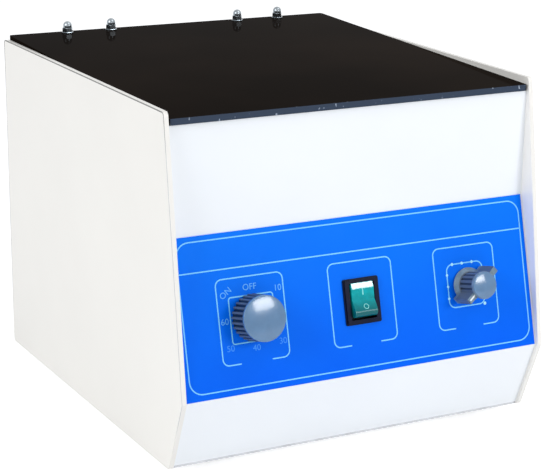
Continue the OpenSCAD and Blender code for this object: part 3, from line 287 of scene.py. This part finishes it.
def plated_metal(name, colour, roughness):
    finish = Finish(name, roughness=roughness, metallic=1.0)
    finish.mottled(colour, spread=0.1, scale=130.0, detail=4.0)
    finish.uneven_gloss(roughness - 0.06, roughness + 0.1, scale=300.0)
    finish.grain(scale=1600.0, depth=0.01, strength=0.1)
    return finish.material


def moulded(name, colour, roughness, spread=0.06, specular=0.5, depth=0.02):
    """Moulded plastic, carbon or cast metal, with a fine grain."""
    finish = Finish(name, roughness=roughness, specular=specular)
    finish.mottled(colour, spread, scale=160.0)
    finish.uneven_gloss(roughness - 0.05, roughness + 0.07, scale=240.0)
    finish.grain(scale=2200.0, depth=depth, strength=0.25)
    return finish.material


def rubber(name, colour):
    finish = Finish(name, roughness=0.7, specular=0.35)
    finish.mottled(colour, spread=0.2, scale=210.0)
    finish.uneven_gloss(0.62, 0.85, scale=400.0)
    finish.grain(scale=2600.0, depth=0.05, strength=0.4)
    return finish.material


def ink(name, colour, roughness=0.5):
    return moulded(name, colour, roughness, spread=0.02, specular=0.3)


def smoked_acrylic():
    """Near-black sheet with a warm cast; its sawn front edge is paler, with bright specks painted
    on it as glints.
    """
    finish = Finish("smoked_acrylic", roughness=0.04, specular=0.0004)
    sheet = finish.mottled(linear(27, 20, 15), spread=0.35, scale=5.0)
    # Painted highlights: bright glints speckled over the front edge
    glint_speck = finish.noise(420.0, FINE_DETAIL, stretch=(1, 1, 0.6))
    sawn_edge_and_glints = finish.blend(finish.step(glint_speck, 0.66, 0.74), linear(62, 73, 90), linear(176, 188, 206))
    face = CASE_FRONT + LID_SET_BACK
    front = finish.step(finish.axis_of(finish.place, "Y"), face + 0.6 * MM, face + 0.2 * MM)
    finish.base(finish.blend(front, sheet, sawn_edge_and_glints))
    finish.uneven_gloss(0.02, 0.06, scale=35.0)
    finish.grain(scale=6.0, depth=0.2, strength=0.02)
    return finish.material


def printed_film():
    """Blue overlay, with painted light making it a little lighter towards its top."""
    finish = Finish("overlay_film", roughness=0.4, specular=0.05)
    # Painted light and shade: darker blue at the overlay's foot, lighter at its head
    height = finish.step(finish.axis_of(finish.place, "Z"), OVERLAY_FOOT_Z, OVERLAY_HEAD_Z)
    painted_light_fade = finish.blend(height, linear(0, 100, 244), linear(0, 122, 250))
    tint = finish.clouds(25.0, linear(0, 100, 245), linear(0, 112, 251))
    finish.base(finish.blend(0.25, painted_light_fade, tint))
    finish.uneven_gloss(0.34, 0.48, scale=90.0)
    finish.grain(scale=3000.0, depth=0.02, strength=0.3)
    return finish.material


def fluted_knob(name, centre, pale_foot, pale_top, crest, groove_shade):
    """Knob plastic: pale foot and top; the fluted grip is dark partly in its own colour and
    partly as painted shade, darkest nearer the axis than the crests, with greyer crests.
    """
    finish = Finish(name, roughness=0.34, specular=0.4)
    spot = finish.knob_axes(centre)
    height = finish.axis_of(spot, "Z")
    # Painted shade: nearer the axis than its crests, the grip takes the dark groove shade
    crests = finish.step(finish.distance_from_axis(spot), crest - 0.7, crest)
    grip = finish.blend(crests, groove_shade, linear(86, 100, 116))
    pale = finish.clouds(300.0, linear(98, 120, 138), linear(112, 136, 154))
    upper = finish.blend(finish.step(height, pale_top - 0.15, pale_top), grip, pale)
    finish.base(finish.blend(finish.step(height, pale_foot, pale_foot - 0.3), upper, pale))
    finish.uneven_gloss(0.28, 0.42, scale=240.0)
    finish.grain(scale=2200.0, depth=0.02, strength=0.2)
    return finish.material


def spun_face(name, centre):
    """Glossy grey-blue face with faint rings from the lathe."""
    finish = Finish(name, roughness=0.16, specular=0.5, coat=0.35)
    finish.mottled(linear(86, 124, 162), spread=0.06, scale=120.0)
    rings = finish.add("ShaderNodeTexWave", wave_type="RINGS", rings_direction="Z")
    rings.inputs["Scale"].default_value = 0.42
    rings.inputs["Distortion"].default_value = 0.4
    finish.link(finish.knob_axes(centre), rings.inputs["Vector"])
    finish.relief(rings.outputs["Fac"], depth=0.05, strength=0.12)
    finish.uneven_gloss(0.12, 0.24, scale=200.0)
    return finish.material


def glossy_rocker(name, specular, coat=0.0):
    """Clear green plastic, with painted shade making it darker towards its lower end."""
    finish = Finish(name, roughness=0.12, specular=specular, coat=coat)
    along = finish.axis_of(finish.knob_axes(ROCKER_PIVOT), "Y")
    cloudy = finish.clouds(260.0, linear(0, 156, 160), linear(4, 172, 180))
    # Painted shade: this mask is 0 at the darkened lower end and 1 where the green is unshaded
    clear = finish.step(along, GREEN_SHADE_BELOW, GREEN_UNSHADED_ABOVE)
    finish.base(finish.blend(clear, linear(2, 100, 106), cloudy))
    finish.uneven_gloss(0.08, 0.16, scale=160.0)
    finish.grain(scale=900.0, depth=0.02, strength=0.08)
    return finish.material


def hem_line_paint():
    """Painted shade along a side panel's bend, darkest at the top and gone at the foot."""
    finish = Finish("hem_line_paint", roughness=0.5, specular=0.2)
    height = finish.axis_of(finish.place, "Z")
    upper = finish.blend(finish.step(height, HEM_DARKER_Z, HEM_DARKEST_Z),
                         linear(200, 202, 204), linear(138, 138, 136))
    finish.base(finish.blend(finish.step(height, HEM_GONE_Z, HEM_CLEAR_Z),
                             linear(238, 236, 231), upper))
    finish.uneven_gloss(0.45, 0.6, scale=90.0)
    finish.grain(scale=1100.0, depth=0.05, strength=0.16)
    return finish.material


CASE_WHITE = painted_sheet("case_paint_warm", linear(240, 238, 233))
PANEL_WHITE = painted_sheet("case_paint_cool", linear(243, 247, 251))
BOWL_STEEL = turned_metal("brushed_bowl_steel", (0.62, 0.63, 0.64, 1), roughness=0.3)
ZINC = plated_metal("zinc_plate", (0.45, 0.46, 0.48, 1), roughness=0.35)
BRIGHT_STEEL = plated_metal("bright_steel", (0.5, 0.51, 0.52, 1), roughness=0.24)
CHROME = plated_metal("chrome_plate", (0.34, 0.38, 0.41, 1), roughness=0.14)
TURNED_ALU = turned_metal("turned_aluminium", (0.72, 0.73, 0.74, 1), roughness=0.28)
DARK_RUBBER = rubber("dark_rubber", linear(34, 34, 36))
LID_ACRYLIC = smoked_acrylic()
OVERLAY_BLUE = printed_film()
# Knob plastics, their grips and grooves darkened with painted shade
TIMER_PLASTIC = fluted_knob("timer_knob_plastic", TIMER_CENTRE, pale_foot=TIMER_FOOT,
                            pale_top=TIMER_FACE - 1.0, crest=TIMER_RADIUS - 0.2,
                            groove_shade=linear(9, 15, 24))
SPEED_PLASTIC = fluted_knob("speed_knob_plastic", SPEED_CENTRE, pale_foot=SPEED_FOOT,
                            pale_top=WING_FACE - 0.1, crest=SPEED_CREST,
                            groove_shade=linear(22, 31, 44))
TIMER_FACE_GREY = spun_face("timer_face_grey", TIMER_CENTRE)
SPEED_FACE_GREY = spun_face("speed_face_grey", SPEED_CENTRE)
# Painted shade for the strips along the side panels' bends
HEM_SHADE = hem_line_paint()
MOTOR_BLACK = painted_sheet("motor_paint", linear(58, 60, 64), roughness=0.4)
MOTOR_CAST = moulded("cast_alloy", linear(150, 152, 155), roughness=0.5, spread=0.12, depth=0.12)
CORE_STEEL = turned_metal("core_laminations", (0.3, 0.3, 0.32, 1), roughness=0.45,
                          along=(1, 1, 60), spread=0.2)
COPPER = turned_metal("enamelled_copper", (0.66, 0.32, 0.14, 1), roughness=0.35,
                      along=(1, 1, 40), spread=0.2)
BRASS = plated_metal("brass_parts", (0.72, 0.56, 0.26, 1), roughness=0.3)
CARBON = moulded("brush_carbon", linear(36, 36, 38), roughness=0.6, spread=0.2)
SWITCH_BLACK = moulded("switch_black", linear(12, 20, 44), roughness=0.3, spread=0.15,
                       specular=0.1)
FITTING_BLACK = moulded("fitting_black", linear(28, 28, 31), roughness=0.4, spread=0.15)
ROCKER_GREEN = glossy_rocker("rocker_green", specular=0.2)
ROCKER_LENS = glossy_rocker("rocker_lens", specular=0.6, coat=1.0)
CREAM_PLASTIC = moulded("timer_body_cream", linear(222, 218, 205), roughness=0.45, spread=0.05)
BOARD_GREEN = moulded("board_laminate", linear(30, 96, 56), roughness=0.4, spread=0.12)
SINK_BLACK = turned_metal("anodised_sink", (0.05, 0.05, 0.055, 1), roughness=0.45,
                          along=(30, 1, 1), spread=0.2)
PRINT_CYAN = ink("print_pale_cyan", linear(124, 208, 255))
DIAL_CYAN = ink("dial_pale_cyan", linear(98, 182, 252))
DIAL_FAINT = ink("dial_faint_cyan", linear(52, 148, 252))
DOT_CYAN = ink("dot_bright_cyan", linear(168, 232, 255))
MARK_WHITE = ink("mark_white", linear(238, 244, 246), roughness=0.45)
SWITCH_MARK = ink("switch_mark", linear(150, 232, 226), roughness=0.45)

WEARS = {
    "left_side_panel": CASE_WHITE, "right_side_panel": CASE_WHITE, "front_panel": PANEL_WHITE,
    "rear_panel": CASE_WHITE, "base_plate": ZINC, "top_deck": PANEL_WHITE, "case_screws": ZINC,
    "rubber_feet": DARK_RUBBER, "foot_screws": ZINC, "chamber_bowl": BOWL_STEEL,
    "bowl_rim_trim": DARK_RUBBER, "shaft_seal": DARK_RUBBER, "lid": LID_ACRYLIC,
    "upper_hinge_leaves": BRIGHT_STEEL, "lower_hinge_leaves": BRIGHT_STEEL,
    "hinge_pins": BRIGHT_STEEL, "lid_screws": ZINC, "lid_washers": CHROME, "dome_nuts": CHROME,
    "hinge_screws": ZINC, "lid_bumpers": DARK_RUBBER, "rotor_head": TURNED_ALU,
    "tube_sleeves": TURNED_ALU, "sleeve_cushions": DARK_RUBBER, "rotor_nut": CHROME,
    "motor_shaft": BRIGHT_STEEL, "motor_can": MOTOR_BLACK, "motor_upper_cap": MOTOR_CAST,
    "motor_lower_cap": MOTOR_CAST, "stator_core": CORE_STEEL, "field_coils": COPPER,
    "armature": CORE_STEEL, "commutator": COPPER, "cooling_fan": FITTING_BLACK,
    "motor_bearings": BRIGHT_STEEL, "brush_holders": BRASS, "carbon_brushes": CARBON,
    "motor_bolts": ZINC, "motor_plate": ZINC, "rubber_dampers": DARK_RUBBER,
    "damper_studs": ZINC, "control_overlay": OVERLAY_BLUE, "timer_unit": CREAM_PLASTIC,
    "timer_shaft": BRIGHT_STEEL, "timer_nut": ZINC, "timer_knob": TIMER_PLASTIC,
    "speed_pot": ZINC, "pot_shaft": BRIGHT_STEEL, "pot_nut": ZINC, "speed_knob": SPEED_PLASTIC,
    "switch_housing": SWITCH_BLACK, "switch_rocker": ROCKER_GREEN, "switch_tags": BRASS,
    "control_board": BOARD_GREEN, "board_standoffs": BRASS, "heat_sink": SINK_BLACK,
    "mains_inlet": FITTING_BLACK, "inlet_pins": CHROME, "fuse_holder": FITTING_BLACK,
    "fuse_cap": FITTING_BLACK,
}
for node_name, cad_object in NODES.items():
    cad_object.data.materials.clear()
    cad_object.data.materials.append(WEARS[node_name])


# New pieces

# Edges that turn by more than this, in radians, are rounded.
SHARP_ANGLE = 1.0
# Corners this close to a face's plane, in metres, lie in it.
IN_PLANE = 1e-5


def finish_piece(work, name, material, body, place=None):
    """Turns a bmesh into a piece with its place in its mesh."""
    if place is not None:
        work.transform(place)
    bmesh.ops.recalc_face_normals(work, faces=work.faces)
    mesh = bpy.data.meshes.new(name)
    work.to_mesh(mesh)
    work.free()
    piece = bpy.data.objects.new(name, mesh)
    bpy.context.scene.collection.objects.link(piece)
    mesh.materials.append(material)
    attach(piece, body)
    return piece


def to_metres(work):
    """Brings a piece that was made in mm to metres."""
    bmesh.ops.scale(work, vec=(MM, MM, MM), verts=work.verts)


def flat_plate(width, height, parts=1):
    """Flat rectangle centred on the origin, in mm, cut into parts along its height."""
    work = bmesh.new()
    bmesh.ops.create_grid(work, x_segments=1, y_segments=parts, size=0.5)
    bmesh.ops.scale(work, vec=(width, height, 1), verts=work.verts)
    return work


def rounded_plate(width, height, corner):
    """Flat rounded rectangle centred on the origin, in mm."""
    work = flat_plate(width, height)
    bmesh.ops.bevel(work, geom=work.verts, offset=corner, affect="VERTICES", segments=8,
                    profile=0.5, material=-1)
    return work


def keep_rim(work, line):
    """Leaves only a line along the edge of a flat outline."""
    bmesh.ops.inset_region(work, faces=work.faces[:], thickness=line, use_boundary=True,
                           use_even_offset=True)
    middle = max(work.faces, key=lambda face: face.calc_area())
    bmesh.ops.delete(work, geom=[middle], context="FACES")


def printed_line_frame(width, height, corner, gap=0.0):
    """Printed outline of a rounded rectangle; a gap opens the middle of its lower side."""
    work = rounded_plate(width, height, corner)
    keep_rim(work, PRINT_LINE)
    if gap:
        for side in (-gap / 2, gap / 2):
            bmesh.ops.bisect_plane(work, geom=work.verts[:] + work.edges[:] + work.faces[:],
                                   plane_co=(side, 0, 0), plane_no=(1, 0, 0))
        centres = {face: face.calc_center_median() for face in work.faces}
        low = [face for face, spot in centres.items() if abs(spot.x) < gap / 2 and spot.y < 0]
        bmesh.ops.delete(work, geom=low, context="FACES")
    return work


def print_on_panel(work, name, x, v, turn=0.0, material=PRINT_CYAN, lift=0.0):
    """Gives a flat outline the thickness of ink and lays it on the overlay."""
    bmesh.ops.solidify(work, geom=work.faces[:], thickness=PRINT_THICK)
    to_metres(work)
    place = panel_place(x, v, OVERLAY_TOP + PRINT_THICK + lift, turn)
    finish_piece(work, name, material, "case", place)


# Printed lines of the overlay

PRINTED_PLACES = {"timer": -79.7, "switch": 0.4, "speed": 80.4}

print_on_panel(printed_line_frame(width=256.4, height=96.2, corner=9.3), "print_border",
               x=0, v=51.5)
print_on_panel(flat_plate(width=254.4, height=PRINT_LINE), "print_divider", x=0, v=23.1)
for place_name, centre_x in PRINTED_PLACES.items():
    print_on_panel(printed_line_frame(width=48.0, height=55.4, corner=4.7, gap=22.0),
                   f"print_frame_{place_name}", centre_x, v=56.8)
print_on_panel(printed_line_frame(width=32.0, height=30.4, corner=2.2), "print_timer_square",
               PRINTED_PLACES["timer"], v=56.4)
print_on_panel(printed_line_frame(width=28.9, height=29.8, corner=5.0), "print_speed_square",
               PRINTED_PLACES["speed"], v=55.6)


# Dots round the speed knob, each with its place across from the knob, its place down the
# panel and its radius, in mm

DOT_LIFT = 0.02
SPEED_DOTS = ((-9.3, 41.1, 1.0), (-1.6, 41.1, 1.0), (6.2, 41.1, 1.0),
              (-14.0, 47.9, 0.9), (-14.0, 55.6, 0.9), (-14.0, 63.6, 0.9), (13.6, 70.2, 1.1))
for number, (x, v, radius) in enumerate(SPEED_DOTS):
    dot = bmesh.new()
    bmesh.ops.create_circle(dot, cap_ends=True, segments=20, radius=radius)
    print_on_panel(dot, f"speed_dot_{number}", PRINTED_PLACES["speed"] + x, v,
                   material=DOT_CYAN, lift=DOT_LIFT)


# Numbers and words of the timer's dial, each with its place across and down the panel in mm
# and its turn in degrees

CAPITAL_SHARE = 0.69
DIAL_HEIGHT = 3.9
FAINT_BELOW = 60
DIAL = (("ON", -96.8, 38.6, 35), ("OFF", -79.8, 36.5, 0), ("10", -60.2, 39.5, 0),
        ("20", -59.6, 56.5, 0), ("30", -60.0, 73.7, 0), ("40", -78.9, 75.5, 0),
        ("50", -97.1, 73.7, 0), ("60", -99.3, 56.5, 0))


def printed_label(text, x, v, turn):
    """Number or word of the dial, centred on its place; the lower ones are fainter."""
    name = f"dial_{text.lower()}"
    curve = bpy.data.curves.new(name, "FONT")
    curve.body = text
    curve.size = DIAL_HEIGHT / CAPITAL_SHARE
    curve.align_x = "CENTER"
    curve.align_y = "CENTER"
    letters = bpy.data.objects.new(name, curve)
    bpy.context.scene.collection.objects.link(letters)
    bpy.context.view_layer.update()
    flat = bpy.data.meshes.new_from_object(letters)
    bpy.data.objects.remove(letters)
    work = bmesh.new()
    work.from_mesh(flat)
    bpy.data.meshes.remove(flat)
    bmesh.ops.remove_doubles(work, verts=work.verts, dist=1e-4)
    print_on_panel(work, name, x, v, turn, DIAL_CYAN if v < FAINT_BELOW else DIAL_FAINT)


for label, x, v, turn in DIAL:
    printed_label(label, x, v, turn)


# Knob faces and pointer line

RIM_CURL = 0.5
CURL_STEPS = 6
DOME_STEPS = 10
SPIN_STEPS = 72


def domed_face(name, centre, rim_height, radius, dome, wall, material, body):
    """Domed cap on a knob's face with a rounded rim, spun from its half profile."""
    slope = math.asin((radius - RIM_CURL) / (dome - RIM_CURL))
    crown = (dome - RIM_CURL) * math.cos(slope)
    work = bmesh.new()
    profile = [work.verts.new((radius, 0, -wall))]
    for ring in range(CURL_STEPS + 1):
        angle = math.pi / 2 + (slope - math.pi / 2) * ring / CURL_STEPS
        profile.append(work.verts.new((radius - RIM_CURL + RIM_CURL * math.sin(angle), 0,
                                       RIM_CURL * math.cos(angle))))
    for ring in range(1, DOME_STEPS + 1):
        angle = slope * (1 - ring / DOME_STEPS)
        profile.append(work.verts.new((dome * math.sin(angle), 0,
                                       dome * math.cos(angle) - crown)))
    edges = [work.edges.new(pair) for pair in zip(profile, profile[1:])]
    bmesh.ops.spin(work, geom=profile + edges, cent=(0, 0, 0), axis=(0, 0, 1), angle=math.tau,
                   steps=SPIN_STEPS, use_merge=True)
    bmesh.ops.remove_doubles(work, verts=work.verts, dist=1e-4)
    to_metres(work)
    piece = finish_piece(work, name, material, body, on_knob(centre, rim_height))
    for face in piece.data.polygons:
        face.use_smooth = True


domed_face("timer_face", TIMER_CENTRE, rim_height=TIMER_FACE - 0.5, radius=TIMER_RADIUS - 0.4,
           dome=TIMER_DOME, wall=1.3, material=TIMER_FACE_GREY, body="timer")
domed_face("speed_face", SPEED_CENTRE, rim_height=SPEED_FACE - 0.4, radius=SPEED_RADIUS - 0.3,
           dome=SPEED_DOME, wall=0.9, material=SPEED_FACE_GREY, body="speed")

pointer = rounded_plate(width=6.2, height=1.1, corner=0.4)
bmesh.ops.solidify(pointer, geom=pointer.faces[:], thickness=PRINT_THICK)
bmesh.ops.translate(pointer, vec=(WING_REACH - POINTER_INSET, 0, 0), verts=pointer.verts)
to_metres(pointer)
finish_piece(pointer, "pointer_line", MARK_WHITE, "speed",
             on_knob(SPEED_CENTRE, WING_FACE + PRINT_THICK, POINTER_ANGLE))


# Marks and polished end of the rocker

def rocker_mark(work, name, along):
    """Lays a flat mark on one sloping half of the rocker, along mm up from its crease."""
    bmesh.ops.solidify(work, geom=work.faces[:], thickness=PRINT_THICK)
    rise = ROCKER_DIP + abs(along) * math.tan(math.radians(ROCKER_SLOPE)) + PRINT_THICK
    place = on_rocker(along, rise, math.copysign(ROCKER_SLOPE, along))
    finish_piece(work, name, SWITCH_MARK, "rocker", place)


rocker_mark(rounded_plate(width=0.6, height=4.8, corner=0.2), "rocker_on_bar", along=5.2)

off_ring = bmesh.new()
bmesh.ops.create_circle(off_ring, cap_ends=True, segments=40, radius=1.8)
bmesh.ops.translate(off_ring, vec=(0.6, 0, 0), verts=off_ring.verts)
keep_rim(off_ring, line=0.34)
rocker_mark(off_ring, "rocker_off_ring", along=-4.9)

# The polished end is slightly crowned and covers the end of the upper half.
lens_plate = flat_plate(END_WIDTH, END_LENGTH, parts=8)
for vert in lens_plate.verts:
    vert.co.z = (vert.co.y * math.tan(math.radians(END_SLOPE))
                 - vert.co.y ** 2 / (2 * END_CROWN))
bmesh.ops.solidify(lens_plate, geom=lens_plate.faces[:], thickness=END_THICK)
upper_rim = [edge for edge in lens_plate.edges
             if edge.is_manifold and edge.calc_face_angle() > SHARP_ANGLE
             and min(vert.co.z for vert in edge.verts) > END_RIM_LOW]
bmesh.ops.bevel(lens_plate, geom=upper_rim, offset=0.3, affect="EDGES", segments=3, profile=0.5,
                material=-1)
finish_piece(lens_plate, "rocker_end_lens", ROCKER_LENS, "rocker",
             on_rocker(END_ALONG, END_RISE))


# Painted shadow line where each side panel's face meets its bent edge

def hem_shade_line(node_name, side):
    """Thin strip of painted shade along the edge of a side panel's outer face, taken from a copy
    of that face.
    """
    work = bmesh.new()
    work.from_mesh(NODES[node_name].data)
    bmesh.ops.remove_doubles(work, verts=work.verts, dist=1e-6)
    outer = max(vert.co.x * side for vert in work.verts)
    inside = [face for face in work.faces
              if any(abs(vert.co.x * side - outer) > IN_PLANE for vert in face.verts)]
    bmesh.ops.delete(work, geom=inside, context="FACES")
    bmesh.ops.dissolve_limit(work, angle_limit=0.01, verts=work.verts, edges=work.edges)
    keep_rim(work, HEM_LINE_WIDTH * MM)
    bmesh.ops.solidify(work, geom=work.faces[:], thickness=PRINT_THICK * MM)
    bmesh.ops.translate(work, vec=(side * PRINT_THICK * MM, 0, 0), verts=work.verts)
    finish_piece(work, f"hem_line_{node_name.split('_')[0]}", HEM_SHADE, "case")


hem_shade_line("left_side_panel", -1)
hem_shade_line("right_side_panel", 1)


# Camera, its angles in degrees and its lengths in metres

CAMERA_AZIMUTH = math.radians(27.43)
CAMERA_ELEVATION = math.radians(15.36)
CAMERA_ROLL = math.radians(0.29)
CAMERA_DISTANCE = 1.3327
CAMERA_TARGET = Vector((0.0159, CASE_FRONT + 0.1457, FOOT_HEIGHT + 0.0992))
FOCAL_LENGTH_MM = 119.94
SENSOR_WIDTH_MM = 36.0
CLIP_END = 50.0

forward = Vector((math.sin(CAMERA_AZIMUTH) * math.cos(CAMERA_ELEVATION),
                  math.cos(CAMERA_AZIMUTH) * math.cos(CAMERA_ELEVATION),
                  -math.sin(CAMERA_ELEVATION)))
level_right = forward.cross(Vector((0, 0, 1))).normalized()
level_up = level_right.cross(forward)
right = level_right * math.cos(CAMERA_ROLL) + level_up * math.sin(CAMERA_ROLL)
up = level_up * math.cos(CAMERA_ROLL) - level_right * math.sin(CAMERA_ROLL)
lens = bpy.data.cameras.new("photo_camera")
lens.lens = FOCAL_LENGTH_MM
lens.sensor_width = SENSOR_WIDTH_MM
lens.sensor_fit = "HORIZONTAL"
lens.clip_end = CLIP_END
camera = bpy.data.objects.new("photo_camera", lens)
bpy.context.scene.collection.objects.link(camera)
camera.matrix_world = (Matrix.Translation(CAMERA_TARGET - forward * CAMERA_DISTANCE)
                       @ Matrix((right, up, -forward)).transposed().to_4x4())
bpy.context.scene.camera = camera


# Lamps

def soft_lamp(name, place, aim, size, power):
    """Rectangular lamp at a place, turned to its aim."""
    light = bpy.data.lights.new(name, "AREA")
    light.shape = "RECTANGLE"
    light.size, light.size_y = size
    light.energy = power
    lamp = bpy.data.objects.new(name, light)
    bpy.context.scene.collection.objects.link(lamp)
    lamp.location = place
    lamp.rotation_euler = (Vector(aim) - Vector(place)).to_track_quat("-Z", "Y").to_euler()


soft_lamp("front_window", place=(0.5, -1.3, 0.585), aim=(0, -0.14, 0.12), size=(0.5, 0.27),
          power=5.8)
soft_lamp("left_softbox", place=(-2.0, -0.5, 1.2), aim=(0, 0, 0.12), size=(1.2, 1.2), power=20.5)
soft_lamp("top_softbox", place=(0.7, -0.4, 1.7), aim=(0, 0, 0.1), size=(0.8, 0.8), power=5.0)


# White studio

ROOM_COLOUR = (0.95, 0.97, 1.0, 1)
ROOM_STRENGTH = 0.5
PAPER_COLOUR = (0.9, 0.9, 0.9, 1)
PAPER_ROUGHNESS = 0.9
PAPER_GLOW = 0.6
FLOOR_HALF = 12.0


def white_to_the_camera(tree, plain, white):
    """Mixes in the white background for camera, glossy and transmission rays."""
    path = tree.nodes.new("ShaderNodeLightPath")
    share = path.outputs["Is Camera Ray"]
    for kind in ("Is Glossy Ray", "Is Transmission Ray"):
        either = tree.nodes.new("ShaderNodeMath")
        either.operation = "MAXIMUM"
        tree.links.new(share, either.inputs[0])
        tree.links.new(path.outputs[kind], either.inputs[1])
        share = either.outputs[0]
    mix = tree.nodes.new("ShaderNodeMixShader")
    tree.links.new(share, mix.inputs[0])
    tree.links.new(plain, mix.inputs[1])
    tree.links.new(white, mix.inputs[2])
    return mix.outputs[0]


world = bpy.data.worlds.new("studio")
bpy.context.scene.world = world
world.use_nodes = True
sky = world.node_tree
room = sky.nodes["Background"]
room.inputs["Color"].default_value = ROOM_COLOUR
room.inputs["Strength"].default_value = ROOM_STRENGTH
backdrop = sky.nodes.new("ShaderNodeBackground")
backdrop.inputs["Color"].default_value = (1, 1, 1, 1)
backdrop.inputs["Strength"].default_value = 1.0
sky.links.new(white_to_the_camera(sky, room.outputs[0], backdrop.outputs[0]),
              sky.nodes["World Output"].inputs[0])

floor_work = bmesh.new()
bmesh.ops.create_grid(floor_work, x_segments=4, y_segments=4, size=FLOOR_HALF)
floor_mesh = bpy.data.meshes.new("floor")
floor_work.to_mesh(floor_mesh)
floor_work.free()
floor = bpy.data.objects.new("floor", floor_mesh)
bpy.context.scene.collection.objects.link(floor)
floor_material = bpy.data.materials.new("floor_paper")
floor_material.use_nodes = True
floor_tree = floor_material.node_tree
paper = floor_tree.nodes["Principled BSDF"]
paper.inputs["Base Color"].default_value = PAPER_COLOUR
paper.inputs["Roughness"].default_value = PAPER_ROUGHNESS
paper.inputs["Specular IOR Level"].default_value = 0.0
glow = floor_tree.nodes.new("ShaderNodeEmission")
glow.inputs["Strength"].default_value = PAPER_GLOW
lit_paper = floor_tree.nodes.new("ShaderNodeAddShader")
floor_tree.links.new(paper.outputs[0], lit_paper.inputs[0])
floor_tree.links.new(glow.outputs[0], lit_paper.inputs[1])
floor_tree.links.new(white_to_the_camera(floor_tree, paper.outputs[0], lit_paper.outputs[0]),
                     floor_tree.nodes["Material Output"].inputs[0])
floor_mesh.materials.append(floor_material)

bpy.context.scene.view_settings.view_transform = "Standard"
